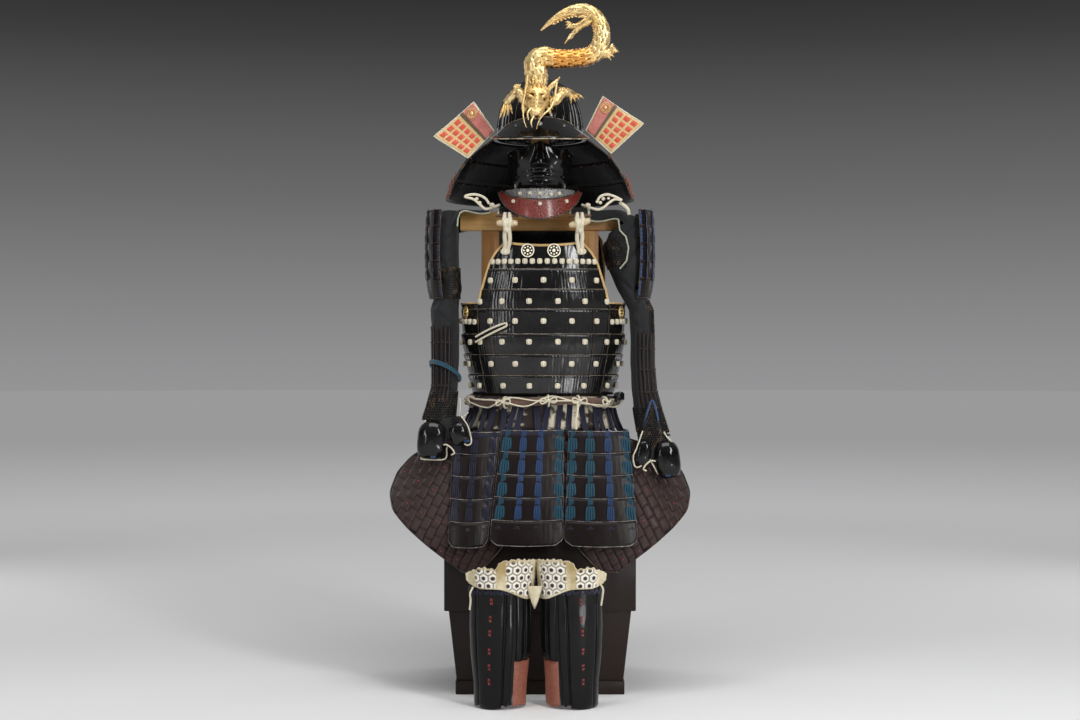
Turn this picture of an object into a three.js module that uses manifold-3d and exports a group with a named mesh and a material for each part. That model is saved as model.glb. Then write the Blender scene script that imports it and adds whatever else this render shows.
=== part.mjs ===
// Samurai armour, a whole set, shown on its wooden stand above its armour chest.
// Millimetres. +Z up, -Y towards the front, +X to the right as seen from the front.
// The origin is the middle of the chest's base, on the ground.
import * as THREE from 'three';
import { mergeVertices } from 'three/addons/utils/BufferGeometryUtils.js';
import Module from 'manifold-3d';

const wasm = await Module();
wasm.setup();

// ---- Driving dimensions ------------------------------------------------------------------------

const GAP = 0.3;                 // between pieces that touch
const CHEST_WIDTH = 414;         // under the lid
const CHEST_FOOT_WIDTH = 372;
const CHEST_DEPTH = 396;
const CHEST_FOOT_DEPTH = 364;
const CHEST_HEIGHT = 345;
const CHEST_WALL = 12;
const LID_WIDTH = 434;
const LID_DEPTH = 416;
const LID_EDGE_Z = 192;          // height of the lid's lower edge
const LID_TOP_Z = 385;
const LID_WALL = 7;

const STAND_BASE = { width: 320, depth: 200, height: 18 };
const UPRIGHT = { width: 42, depth: 18, x: 118 };
const SHOULDER_BAR = { width: 380, depth: 22, height: 45, z: 1067 };

const BOWL_RIM_Z = 1286;
const BOWL_HEIGHT = 138;
const BOWL_HALF_WIDTH = 102;
const BOWL_HALF_DEPTH = 120;
const BOWL_WALL = 3;

const CUIRASS_X = 8;             // the cuirass hangs a little off the middle of the stand
const LAME_WALL = 3.5;
const CLOTH_WALL = 2.5;
const TASSET_LAMES = 5;
const SHIN_TOP_Z = 262;
const SHIN_WALL = 4;

// ---- Finishes ----------------------------------------------------------------------------------

const finishes = {
  lacquer: { color: 0x16130f, roughness: 0.28, metalness: 0.1 },
  chestLacquer: { color: 0x1d1612, roughness: 0.5, metalness: 0.05 },
  wood: { color: 0xb08c50, roughness: 0.6, metalness: 0 },
  gilt: { color: 0xe6be5a, roughness: 0.3, metalness: 0.9 },
  plates: { color: 0x3c3232, roughness: 0.5, metalness: 0.2 },
  leather: { color: 0x7a3322, roughness: 0.55, metalness: 0 },
  cloth: { color: 0x1b1e26, roughness: 0.9, metalness: 0 },
  paleCloth: { color: 0xc9bfa6, roughness: 0.9, metalness: 0 },
  brownCloth: { color: 0x4b3a36, roughness: 0.85, metalness: 0 },
  silverLame: { color: 0x6a6a6c, roughness: 0.4, metalness: 0.6 },
  wing: { color: 0xb9543c, roughness: 0.5, metalness: 0.1 },
  ivory: { color: 0xd8c8a4, roughness: 0.4, metalness: 0 },
};

const armour = new THREE.Group();

function addPiece(name, geometry, finish) {
  const piece = new THREE.Mesh(geometry, new THREE.MeshStandardMaterial(finishes[finish]));
  piece.name = name;
  armour.add(piece);
  return piece;
}

// ---- Geometry helpers --------------------------------------------------------------------------

const vec = (x, y, z) => new THREE.Vector3(x, y, z);
const mix = (a, b, t) => a + (b - a) * t;

function enclosedVolume(geometry) {
  const corner = geometry.getAttribute('position');
  const index = geometry.getIndex();
  const [a, b, c] = [vec(), vec(), vec()];
  let volume = 0;
  for (let i = 0; i < index.count; i += 3) {
    a.fromBufferAttribute(corner, index.getX(i));
    b.fromBufferAttribute(corner, index.getX(i + 1));
    c.fromBufferAttribute(corner, index.getX(i + 2));
    volume += a.dot(b.cross(c)) / 6;
  }
  return volume;
}

// Moves every point of a geometry, joins the shared ones and turns the faces outwards.
function reshape(geometry, place) {
  geometry.deleteAttribute('normal');
  geometry.deleteAttribute('uv');
  const points = geometry.getAttribute('position');
  for (let i = 0; i < points.count; i += 1) {
    const moved = place(vec().fromBufferAttribute(points, i));
    points.setXYZ(i, moved.x, moved.y, moved.z);
  }
  const merged = mergeVertices(geometry, 1e-3);
  const kept = [];
  const index = merged.getIndex().array;
  for (let i = 0; i < index.length; i += 3) {
    const [a, b, c] = index.subarray(i, i + 3);
    if (a !== b && b !== c && c !== a) kept.push(a, b, c);
  }
  merged.setIndex(kept);
  if (enclosedVolume(merged) < 0) merged.setIndex(kept.reverse());
  merged.computeVertexNormals();
  return merged;
}

// A flat block of cols by rows cells bent into a wall. u runs along it and v up it, and w goes from
// its inner face at 0 to its outer one at 1.
function bentWall(cols, rows, place) {
  const block = new THREE.BoxGeometry(1, 1, 1, cols, rows, 1);
  return reshape(block, (p) => place(p.x + 0.5, p.y + 0.5, p.z + 0.5));
}

// A band that closes on itself round an upright axis. turn is its angle, from the front towards +X.
function ringWall(cols, rows, place) {
  const profile = [];
  for (let r = 0; r <= rows; r += 1) profile.push(new THREE.Vector2(2, r / rows));
  for (let r = rows; r >= 0; r -= 1) profile.push(new THREE.Vector2(1, r / rows));
  profile.push(profile[0].clone());
  const band = new THREE.LatheGeometry(profile, cols);
  return reshape(band, (p) => place(Math.atan2(p.x, p.z), p.y, Math.hypot(p.x, p.z) - 1));
}

// A point on an oval at a height. An angle of 0 is its front.
function ovalPoint(oval, turn, z, proud = 0) {
  const x = (oval.x ?? 0) + (oval.width / 2 + proud) * Math.sin(turn);
  const y = (oval.y ?? 0) - (oval.depth / 2 + proud) * Math.cos(turn);
  return vec(x, y, z);
}

// Reads a table of rows sorted by z, top first, at any height.
function rowAt(table, z) {
  let i = 0;
  while (i < table.length - 2 && z < table[i + 1].z) i += 1;
  const [upper, lower] = [table[i], table[i + 1]];
  const t = THREE.MathUtils.clamp((upper.z - z) / (upper.z - lower.z), 0, 1);
  const row = { z };
  for (const key of Object.keys(upper)) {
    if (key !== 'z') row[key] = mix(upper[key], lower[key], t);
  }
  return row;
}

// Heights of laced lames from the bottom up: each lame stands proud at its lower edge.
function lameSteps(edges, proud) {
  const steps = [];
  for (let i = edges.length - 1; i > 0; i -= 1) {
    steps.push({ z: edges[i], proud }, { z: edges[i - 1] - 1, proud: 0 });
  }
  return steps;
}

function evenEdges(top, bottom, count) {
  return Array.from({ length: count + 1 }, (_, i) => mix(top, bottom, i / count));
}

// A round cord along a curve.
function cord(points, diameter, steps, sides = 8) {
  const section = new THREE.Shape();
  for (let i = 0; i < sides; i += 1) {
    const turn = (2 * Math.PI * i) / sides;
    const corner = [Math.cos(turn) * diameter / 2, Math.sin(turn) * diameter / 2];
    if (i === 0) section.moveTo(...corner);
    else section.lineTo(...corner);
  }
  section.closePath();
  const path = new THREE.CatmullRomCurve3(points.map((p) => vec(...p)));
  const tube = new THREE.ExtrudeGeometry(section, { steps, extrudePath: path, bevelEnabled: false });
  return reshape(tube, (p) => p);
}

// A limb that tapers along a curve. radii lists its thickness at even steps along it.
function limb(points, radii, steps = 12, sides = 10) {
  const path = new THREE.CatmullRomCurve3(points.map((p) => vec(...p)));
  const rod = new THREE.CylinderGeometry(1, 1, 1, sides, steps);
  const forward = vec(0, 1, 0);
  return reshape(rod, (p) => {
    const t = p.y + 0.5;
    const along = path.getTangentAt(t);
    const across = vec().crossVectors(along, forward).normalize();
    const out = vec().crossVectors(across, along).normalize();
    const place = t * (radii.length - 1);
    const i = Math.min(Math.floor(place), radii.length - 2);
    const radius = mix(radii[i], radii[i + 1], place - i);
    return path.getPointAt(t).addScaledVector(across, p.x * radius).addScaledVector(out, p.z * radius);
  });
}

function toSolid(geometry) {
  return new wasm.Manifold(new wasm.Mesh({
    numProp: 3,
    vertProperties: new Float32Array(geometry.getAttribute('position').array),
    triVerts: new Uint32Array(geometry.getIndex().array),
  }));
}

function toGeometry(solid) {
  const mesh = solid.getMesh();
  const geometry = new THREE.BufferGeometry();
  geometry.setAttribute('position', new THREE.BufferAttribute(mesh.vertProperties, 3));
  geometry.setIndex(new THREE.BufferAttribute(mesh.triVerts, 1));
  return reshape(geometry, (p) => p);
}

function unite(...geometries) {
  return toGeometry(geometries.map(toSolid).reduce((all, next) => all.add(next)));
}

function box(width, depth, height, x, y, z) {
  const block = new THREE.BoxGeometry(width, depth, height);
  return reshape(block, (p) => vec(p.x + x, p.y + y, p.z + z + height / 2));
}

// ---- Chest -------------------------------------------------------------------------------------

// An open box whose plan may change from foot to top. It opens at its last rim.
function openBox(outerRims, innerRims) {
  const block = new THREE.BoxGeometry(1, 1, 1, 1, 1, outerRims.length - 1);
  const hollow = new THREE.BoxGeometry(1, 1, 1, 1, 1, innerRims.length - 1);
  const shape = (rims) => (p) => {
    const rim = rims[Math.round((p.z + 0.5) * (rims.length - 1))];
    return vec(p.x * rim.width, p.y * rim.depth, rim.z);
  };
  return toGeometry(toSolid(reshape(block, shape(outerRims))).subtract(
    toSolid(reshape(hollow, shape(innerRims)))));
}

const chestRims = [
  { z: 0, width: CHEST_FOOT_WIDTH, depth: CHEST_FOOT_DEPTH },
  { z: LID_EDGE_Z, width: CHEST_WIDTH, depth: CHEST_DEPTH },
  { z: CHEST_HEIGHT, width: CHEST_WIDTH, depth: CHEST_DEPTH },
];
const chestHollow = chestRims.map((rim, i) => ({
  z: [CHEST_WALL, LID_EDGE_Z, CHEST_HEIGHT + 1][i],
  width: rim.width - 2 * CHEST_WALL,
  depth: rim.depth - 2 * CHEST_WALL,
}));
addPiece('chest_body', openBox(chestRims, chestHollow), 'chestLacquer');

const lidRims = [
  { z: LID_TOP_Z, width: LID_WIDTH, depth: LID_DEPTH },
  { z: LID_EDGE_Z, width: LID_WIDTH, depth: LID_DEPTH },
];
const lidHollow = lidRims.map((rim, i) => ({
  z: [LID_TOP_Z - LID_WALL, LID_EDGE_Z - 1][i],
  width: rim.width - 2 * LID_WALL,
  depth: rim.depth - 2 * LID_WALL,
}));
addPiece('chest_lid', openBox(lidRims, lidHollow), 'chestLacquer');

// ---- Stand -------------------------------------------------------------------------------------

const baseZ = LID_TOP_Z + GAP;
const uprightZ = baseZ + STAND_BASE.height + GAP;
addPiece('stand_base', box(STAND_BASE.width, STAND_BASE.depth, STAND_BASE.height, 0, 0, baseZ), 'wood');
for (const [side, sign] of [['L', -1], ['R', 1]]) {
  const height = SHOULDER_BAR.z - GAP - uprightZ;
  const board = box(UPRIGHT.width, UPRIGHT.depth, height, sign * UPRIGHT.x, 0, uprightZ);
  addPiece(`stand_upright_${side}`, board, 'wood');
}
addPiece('stand_shoulder_bar',
  box(SHOULDER_BAR.width, SHOULDER_BAR.depth, SHOULDER_BAR.height, 0, 0, SHOULDER_BAR.z), 'wood');

// A turned post with a rounded head that the helmet rests on.
const POST_FOOT_Z = SHOULDER_BAR.z + SHOULDER_BAR.height + GAP;
const headPost = [
  { r: 0, z: POST_FOOT_Z },
  { r: 24, z: POST_FOOT_Z },
  { r: 22, z: 1300 },
  { r: 56, z: 1340 },
  { r: 58, z: 1362 },
  { r: 50, z: 1392 },
  { r: 30, z: 1412 },
  { r: 0, z: 1420 },
];
const postProfile = headPost.map((p) => new THREE.Vector2(p.r, p.z));
addPiece('stand_head_post',
  reshape(new THREE.LatheGeometry(postProfile, 20), (p) => vec(p.x, p.z, p.y)), 'wood');

// ---- Helmet ------------------------------------------------------------------------------------

// The bowl is a ribbed dome of lacquered plates, open below.
function bowlPoint(turn, rise, wall) {
  const girth = Math.cos(rise * Math.PI / 2) ** 0.8;
  const height = Math.sin(rise * Math.PI / 2) ** 0.9 * (BOWL_HEIGHT - wall);
  return vec(
    (BOWL_HALF_WIDTH - wall) * girth * Math.sin(turn),
    -(BOWL_HALF_DEPTH - wall) * girth * Math.cos(turn),
    BOWL_RIM_Z + height);
}
const bowlCourses = 6;
const bowlProfile = [];
for (let i = 0; i <= bowlCourses; i += 1) bowlProfile.push(new THREE.Vector2(2 * (1 - i / bowlCourses), i));
for (let i = bowlCourses; i >= 0; i -= 1) bowlProfile.push(new THREE.Vector2(1 - i / bowlCourses, -1 - i));
bowlProfile.push(bowlProfile[0].clone());
addPiece('helmet_bowl', reshape(new THREE.LatheGeometry(bowlProfile, 24), (p) => {
  const inside = p.y < -0.5;
  const rise = (inside ? -1 - p.y : p.y) / bowlCourses;
  return bowlPoint(Math.atan2(p.x, p.z), rise, inside ? BOWL_WALL : 0);
}), 'lacquer');

// The visor is a crescent that springs from the bowl's front rim and slopes down and out.
const visor = { halfTurn: 1.15, reach: 50, drop: 42, rise: 40, tuck: 2.2, wall: 3 };
addPiece('helmet_visor', bentWall(16, 2, (u, v, w) => {
  const turn = mix(-visor.halfTurn, visor.halfTurn, u);
  const fullness = Math.cos((turn / visor.halfTurn) * Math.PI / 2) ** 0.7;
  const out = 1 - v;
  const root = { width: 2 * BOWL_HALF_WIDTH + 8, depth: 2 * BOWL_HALF_DEPTH + 8 };
  const proud = 14 * out + visor.reach * out * fullness - visor.tuck * v * fullness;
  const z = BOWL_RIM_Z - 4 + visor.rise * v * fullness - visor.drop * out ** 1.4 * fullness * 0.5;
  return ovalPoint(root, turn, z + visor.wall * w, proud - GAP * w);
}), 'lacquer');

// Three laced lames flare from the rim round the sides and the back of the neck.
const neckGuard = [
  { z: 1284, width: 218, depth: 250, y: 0 },
  { z: 1262, width: 286, depth: 300, y: 6 },
  { z: 1236, width: 350, depth: 344, y: 12 },
  { z: 1207, width: 392, depth: 376, y: 18 },
  { z: 1179, width: 420, depth: 398, y: 22 },
  { z: 1141, width: 448, depth: 412, y: 26 },
];
const neckLames = [
  { top: 1283, bottom: 1239, halfGap: 1.2 },
  { top: 1237, bottom: 1192, halfGap: 1.25 },
  { top: 1190, bottom: 1142, halfGap: 1.28 },
];
neckLames.forEach((lame, i) => {
  const wall = bentWall(22, 2, (u, v, w) => {
    const turn = mix(lame.halfGap, 2 * Math.PI - lame.halfGap, u);
    const z = mix(lame.bottom, lame.top, v);
    return ovalPoint(rowAt(neckGuard, z), turn, z, LAME_WALL * (w - 1) + 3 * (1 - v));
  });
  addPiece(`neck_guard_${i + 1}`, wall, 'lacquer');
});

// The wings are the ends of the first lame, turned back beside the visor. Corners in order: top,
// outer, bottom, inner, each as X and Z.
const wings = [
  { side: 'L', top: [-155, 1363], outer: [-248, 1283], bottom: [-169, 1234], inner: [-108, 1297] },
  { side: 'R', top: [147, 1376], outer: [242, 1313], bottom: [167, 1245], inner: [108, 1299] },
];
const WING_Y = -58;
for (const wing of wings) {
  addPiece(`wing_${wing.side}`, bentWall(5, 4, (u, v, w) => {
    const along = (k) => mix(
      mix(wing.inner[k], wing.bottom[k], u), mix(wing.top[k], wing.outer[k], u), v);
    const bow = 8 * Math.sin(Math.PI * u) * v - 10 * v;
    return vec(along(0), WING_Y + bow - 4 * w, along(1));
  }), 'wing');
}

// A flat prong riveted above the visor carries the crest.
const PRONG = { width: 18, depth: 3, y: -128, z: 1322.3, height: 50.7 };
addPiece('crest_prong',
  box(PRONG.width, PRONG.depth, PRONG.height, 0, PRONG.y, PRONG.z), 'gilt');

// ---- Crest: a carved and gilded dragon that stands on its head ---------------------------------

const CREST_Y = -166;
const crestSpine = [
  [-2, 1384], [-6, 1412], [-10, 1436], [6, 1450], [34, 1447], [62, 1447], [92, 1449], [118, 1455],
  [135, 1472], [143, 1500], [138, 1528], [121, 1550], [100, 1560], [78, 1559], [52, 1550],
  [26, 1534], [2, 1513],
].map(([x, z]) => [x, CREST_Y, z]);
const crestGirth = [16, 18, 19, 19, 19, 19, 19, 19, 19, 18, 17, 16, 14, 12, 9, 6, 2];
const crestBody = limb(crestSpine, crestGirth, 32, 10);
const hindLegs = [
  { points: [[122, 1546], [102, 1530], [84, 1520], [62, 1522]], girth: [13, 10, 7, 2] },
  { points: [[86, 1521], [72, 1508], [64, 1498]], girth: [6, 5, 2] },
  { points: [[132, 1478], [150, 1476], [164, 1484], [176, 1480]], girth: [12, 9, 6, 2] },
  { points: [[160, 1482], [170, 1494], [178, 1500]], girth: [6, 5, 2] },
].map((leg) => limb(leg.points.map(([x, z]) => [x, CREST_Y - 4, z]), leg.girth, 5, 6));
addPiece('crest_body', unite(crestBody, ...hindLegs), 'gilt');

const headShape = limb(
  [[-2, CREST_Y + 2, 1383], [0, CREST_Y - 4, 1366], [-2, CREST_Y - 16, 1346], [-6, CREST_Y - 30, 1322]],
  [16, 27, 24, 13], 10, 12);
const horns = [
  limb([[-14, CREST_Y - 4, 1370], [-24, CREST_Y - 2, 1388], [-30, CREST_Y, 1418]], [7, 5, 2], 6, 8),
  limb([[14, CREST_Y - 4, 1370], [28, CREST_Y - 2, 1386], [42, CREST_Y, 1402]], [7, 5, 2], 6, 8),
];
const headAndHorns = unite(headShape, ...horns);
// The head stops short of the neck between its horns, and its back has a socket for the prong.
const neckCut = box(36, 90, 40, -2, CREST_Y, 1380);
const SOCKET = { wall: 3, play: 0.6, z: 1334, reach: 24 };
const socketTop = PRONG.z + PRONG.height + SOCKET.play;
const socketWidth = PRONG.width + 2 * (SOCKET.play + SOCKET.wall);
const socketDepth = PRONG.depth + 2 * (SOCKET.play + SOCKET.wall);
const socket = box(socketWidth, socketDepth + SOCKET.reach, socketTop + SOCKET.wall - SOCKET.z,
  0, PRONG.y - SOCKET.reach / 2, SOCKET.z);
const slot = box(PRONG.width + 2 * SOCKET.play, PRONG.depth + 2 * SOCKET.play, socketTop, 0, PRONG.y, 0);
addPiece('crest_head', toGeometry(
  toSolid(unite(headAndHorns, socket)).subtract(toSolid(neckCut)).subtract(toSolid(slot))), 'gilt');

const forelegs = [
  { side: 'L', points: [[-34, -1, 1353], [-48, 6, 1372], [-66, 14, 1366], [-84, 26, 1344], [-90, 32, 1322]] },
  { side: 'R', points: [[34, -1, 1353], [46, 6, 1366], [62, 14, 1374], [78, 26, 1368], [86, 32, 1356]] },
];
for (const leg of forelegs) {
  const route = leg.points.map(([x, y, z]) => [x, CREST_Y + y, z]);
  addPiece(`crest_foreleg_${leg.side}`, limb(route, [8, 10, 8, 7, 3], 10, 8), 'gilt');
}

// ---- Half mask and throat guard ----------------------------------------------------------------

// A half mask of plain even proportions: cheeks, a straight nose and a rounded chin.
const mask = { top: 1262, bottom: 1160, halfTurn: 1.35, width: 158, depth: 176, wall: 3 };
addPiece('half_mask', bentWall(22, 8, (u, v, w) => {
  const turn = mix(-mask.halfTurn, mask.halfTurn, u);
  const side = Math.abs(turn) / mask.halfTurn;
  const z = mix(mask.bottom, mask.top - 16 * side ** 2, v);
  const jaw = 1 - 0.2 * (1 - v) ** 2;
  const oval = { width: mask.width * jaw, depth: mask.depth * jaw, y: -12 };
  const ridge = Math.exp(-((turn / 0.13) ** 2));
  const nose = v > 0.5 ? 26 * ridge * Math.min((v - 0.5) * 8, 1) * (1.15 - 0.7 * (v - 0.5)) : 0;
  const chin = 8 * Math.exp(-((turn / 0.3) ** 2)) * Math.exp(-(((v - 0.1) / 0.16) ** 2));
  return ovalPoint(oval, turn, z, nose + chin + mask.wall * (w - 1));
}), 'lacquer');

// Two lames hang under the chin. Each is lowest in the middle, like a crescent.
const throatLames = [
  { name: 'throat_upper', width: 170, depth: 214, top: 1158, bottom: 1132, topSag: 1.5, sag: 3, finish: 'silverLame' },
  { name: 'throat_lower', width: 188, depth: 250, top: 1159, bottom: 1154, topSag: 28, sag: 69, finish: 'leather' },
];
for (const lame of throatLames) {
  addPiece(lame.name, bentWall(14, 2, (u, v, w) => {
    const turn = mix(-1.3, 1.3, u);
    const middle = 1 - (turn / 1.3) ** 2;
    const z = mix(lame.bottom - lame.sag * middle, lame.top - lame.topSag * middle, v);
    return ovalPoint({ width: lame.width, depth: lame.depth, y: -6 }, turn, z,
      8 * (1 - v) + CLOTH_WALL * (w - 1));
  }), lame.finish);
}

// ---- Cuirass -----------------------------------------------------------------------------------

const cuirassGirth = [
  { z: 1090, width: 300, depth: 196, x: CUIRASS_X },
  { z: 1032, width: 336, depth: 214, x: CUIRASS_X },
  { z: 966, width: 366, depth: 232, x: CUIRASS_X },
  { z: 896, width: 388, depth: 246, x: CUIRASS_X },
  { z: 800, width: 388, depth: 248, x: CUIRASS_X },
  { z: 740, width: 364, depth: 240, x: CUIRASS_X },
  { z: 678, width: 338, depth: 230, x: CUIRASS_X },
];
const hoopEdges = [873, 815, 767, 718, 678];        // four lames that go all round
const chestEdges = [966, 919, ...hoopEdges];        // and two more across the chest

// How far a chest or back plate reaches from its middle beside the armholes.
const armholes = {
  front: [
    { z: 1034, half: 90 },
    { z: 1010, half: 112 },
    { z: 986, half: 126 },
    { z: 950, half: 137 },
    { z: 920, half: 146 },
    { z: 893, half: 152 },
  ],
  back: [
    { z: 1076, half: 116 },
    { z: 1050, half: 140 },
    { z: 986, half: 147 },
    { z: 893, half: 148 },
  ],
};

// Each plate spans part of the girth. A neck dips below the plate's top edge in its middle.
const cuirassPlates = [
  { name: 'cuirass_front', middle: 0, edges: [1034, 1000, ...chestEdges], side: 'front', neck: 8 },
  { name: 'cuirass_back', middle: Math.PI, edges: [1076, 1020, ...chestEdges], side: 'back', neck: -10 },
  { name: 'cuirass_side_L', middle: -Math.PI / 2, edges: [893, ...hoopEdges] },
  { name: 'cuirass_side_R', middle: Math.PI / 2, edges: [893, ...hoopEdges] },
];
const PLATE_PROUD = 2.5;
const SEAM_HALF_ANGLE = 0.9;     // of the front and the back plate, below the armholes
const SEAM_ANGLE_GAP = 0.003;

for (const plate of cuirassPlates) {
  const steps = lameSteps(plate.edges, PLATE_PROUD);
  const top = plate.edges[0];
  const cols = plate.side ? 12 : 6;
  addPiece(plate.name, bentWall(cols, steps.length - 1, (u, v, w) => {
    const step = steps[Math.round(v * (steps.length - 1))];
    const girth = rowAt(cuirassGirth, step.z);
    const share = 2 * u - 1;
    let reach = Math.PI / 2 - SEAM_HALF_ANGLE - SEAM_ANGLE_GAP;
    let dip = 0;
    if (plate.side) {
      const hole = rowAt(armholes[plate.side], step.z);
      reach = step.z < 893 ? SEAM_HALF_ANGLE : Math.asin(hole.half / (girth.width / 2));
      if (step.z > top - 2) dip = plate.neck * (1 - share ** 2);
    }
    return ovalPoint(girth, plate.middle + share * reach, step.z - dip, step.proud + LAME_WALL * (w - 1));
  }), 'lacquer');
}

// Padded straps cross the stand's bar from the back plate to the toggles in front.
for (const [side, sign] of [['L', -1], ['R', 1]]) {
  const strap = { x: CUIRASS_X + sign * 84, width: 42, wall: 4, halfLength: 94, top: 1117, drop: 26 };
  addPiece(`shoulder_strap_${side}`, bentWall(2, 10, (u, v, w) => {
    const y = mix(-strap.halfLength, strap.halfLength, v);
    const z = strap.top - strap.drop * (y / strap.halfLength) ** 2 + strap.wall * w;
    return vec(strap.x + (u - 0.5) * strap.width, y, z);
  }), 'lacquer');
  const toggle = limb([
    [strap.x - 24, -112, 1074 - sign * 3], [strap.x, -114, 1077], [strap.x + 24, -112, 1080 + sign * 3],
  ], [5, 8, 5], 6, 10);
  addPiece(`toggle_${side}`, toggle, 'ivory');
}

// ---- Waist -------------------------------------------------------------------------------------

// The cloth that the skirt's cords hang in front of.
const waistCloth = [
  { z: 675, width: 330, depth: 224, x: CUIRASS_X },
  { z: 640, width: 338, depth: 240, x: CUIRASS_X - 2 },
  { z: 600, width: 360, depth: 272, x: CUIRASS_X - 4 },
];
addPiece('waist_cloth', ringWall(32, 2, (turn, v, w) => {
  const row = rowAt(waistCloth, mix(600, 675, v));
  const fold = 2 * Math.cos(turn * 16) * (1 - v);
  return ovalPoint(row, turn, row.z, fold + CLOTH_WALL * (w - 1));
}), 'paleCloth');

const BELT = { z: 663, width: 356, depth: 262, radius: 10 };
const beltRound = new THREE.TorusGeometry(1, 0.5, 8, 40);
addPiece('belt', reshape(beltRound, (p) => {
  const turn = Math.atan2(p.x, -p.y);
  const tube = { out: (Math.hypot(p.x, p.y) - 1) * 2 * BELT.radius * 0.7, up: p.z * 2 * BELT.radius };
  const sway = 3 * Math.sin(turn * 3 + 1);
  return ovalPoint({ ...BELT, x: CUIRASS_X }, turn, BELT.z + sway + tube.up, tube.out);
}), 'brownCloth');

const knotBall = new THREE.SphereGeometry(1, 10, 6);
addPiece('belt_knot', reshape(knotBall, (p) =>
  vec(183 + p.x * 12, -92 + p.y * 9, 676 + p.z * 9)), 'lacquer');

const beltTail = [[86, -142, 662], [87, -147, 650], [85, -151, 634], [82, -154, 618], [83, -156, 604]];
addPiece('belt_tail', cord(beltTail, 5, 14), 'paleCloth');

// A doubled cord lies on the left of the cuirass and ends in front.
const sideLoop = [
  [-150, -86, 802], [-128, -102, 814], [-104, -115, 826], [-82, -124, 836], [-76, -127, 841],
  [-80, -125, 845], [-104, -116, 837], [-128, -103, 826], [-150, -87, 814],
];
addPiece('side_loop', cord(sideLoop, 4.5, 28), 'paleCloth');

// ---- Skirt of tassets --------------------------------------------------------------------------

// middle and spread place a panel across its own face; out is how far its face stands off the
// waist at the top and the foot, and facing turns it round the upright axis.
const tassets = [
  { name: 'tasset_front_C', facing: 0, top: [-87, 54], foot: [-114, 51], out: [159, 248], z: 598 },
  { name: 'tasset_front_L', facing: 0, top: [-199, -92], foot: [-206, -120], out: [157, 246], z: 594 },
  { name: 'tasset_front_R', facing: 0, top: [66, 204], foot: [55, 220], out: [157, 244], z: 596 },
  { name: 'tasset_side_L', facing: -Math.PI / 2, top: [-62, 84], foot: [-84, 76], out: [198, 240], z: 594 },
  { name: 'tasset_side_R', facing: Math.PI / 2, top: [-84, 62], foot: [-76, 84], out: [206, 242], z: 594 },
  { name: 'tasset_back_L', facing: Math.PI, top: [8, 172], foot: [4, 200], out: [156, 244], z: 594 },
  { name: 'tasset_back_R', facing: Math.PI, top: [-168, -4], foot: [-196, -8], out: [156, 244], z: 594 },
];
const TASSET_LENGTH = 252;
const TASSET_CROWN = 10;         // how far a panel's edges curve back
for (const panel of tassets) {
  const foot = panel.z - TASSET_LENGTH;
  const steps = lameSteps(evenEdges(panel.z, foot, TASSET_LAMES), 3);
  addPiece(panel.name, bentWall(5, steps.length - 1, (u, v, w) => {
    const step = steps[Math.round(v * (steps.length - 1))];
    const rise = (step.z - foot) / TASSET_LENGTH;
    const x = mix(mix(panel.foot[0], panel.foot[1], u), mix(panel.top[0], panel.top[1], u), rise);
    const crown = -TASSET_CROWN * (2 * u - 1) ** 2;
    const out = mix(panel.out[1], panel.out[0], rise) + crown + step.proud + LAME_WALL * (w - 1);
    const turned = vec(x, -out, step.z).applyAxisAngle(vec(0, 0, 1), panel.facing);
    return turned;
  }), 'plates');
}

// ---- Thigh aprons ------------------------------------------------------------------------------

// Each apron spreads from the waist over the front of the chest and round its corner. Rows give the
// inner and the outer edge as distances from the middle.
const apronRows = [
  { z: 597, inner: 14, outer: 140 },
  { z: 570, inner: 16, outer: 236 },
  { z: 540, inner: 18, outer: 296 },
  { z: 500, inner: 22, outer: 332 },
  { z: 455, inner: 30, outer: 348 },
  { z: 415, inner: 44, outer: 338 },
  { z: 375, inner: 62, outer: 296 },
  { z: 335, inner: 86, outer: 248 },
  { z: 300, inner: 118, outer: 200 },
  { z: 282, inner: 140, outer: 172 },
];
const APRON_WALL = 4;

// How far the aprons stand off the middle of the chest, and where they start to wrap its corners.
const apronHang = [
  { z: 600, out: 124, corner: 146 },
  { z: 560, out: 142, corner: 156 },
  { z: 500, out: 170, corner: 176 },
  { z: 440, out: 192, corner: 206 },
  { z: 385, out: 213, corner: 222 },
  { z: 280, out: 216, corner: 222 },
];

function apronDepth(across, z) {
  const hang = rowAt(apronHang, z);
  return -hang.out + 0.0034 * Math.max(0, across - hang.corner) ** 2;
}
for (const [side, sign] of [['L', -1], ['R', 1]]) {
  addPiece(`thigh_apron_${side}`, bentWall(10, apronRows.length - 1, (u, v, w) => {
    const row = apronRows[Math.round((1 - v) * (apronRows.length - 1))];
    const across = mix(row.inner, row.outer, u);
    return vec(sign * across, apronDepth(across, row.z) - APRON_WALL * w, row.z);
  }), 'plates');
}

// ---- Arms --------------------------------------------------------------------------------------

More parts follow.
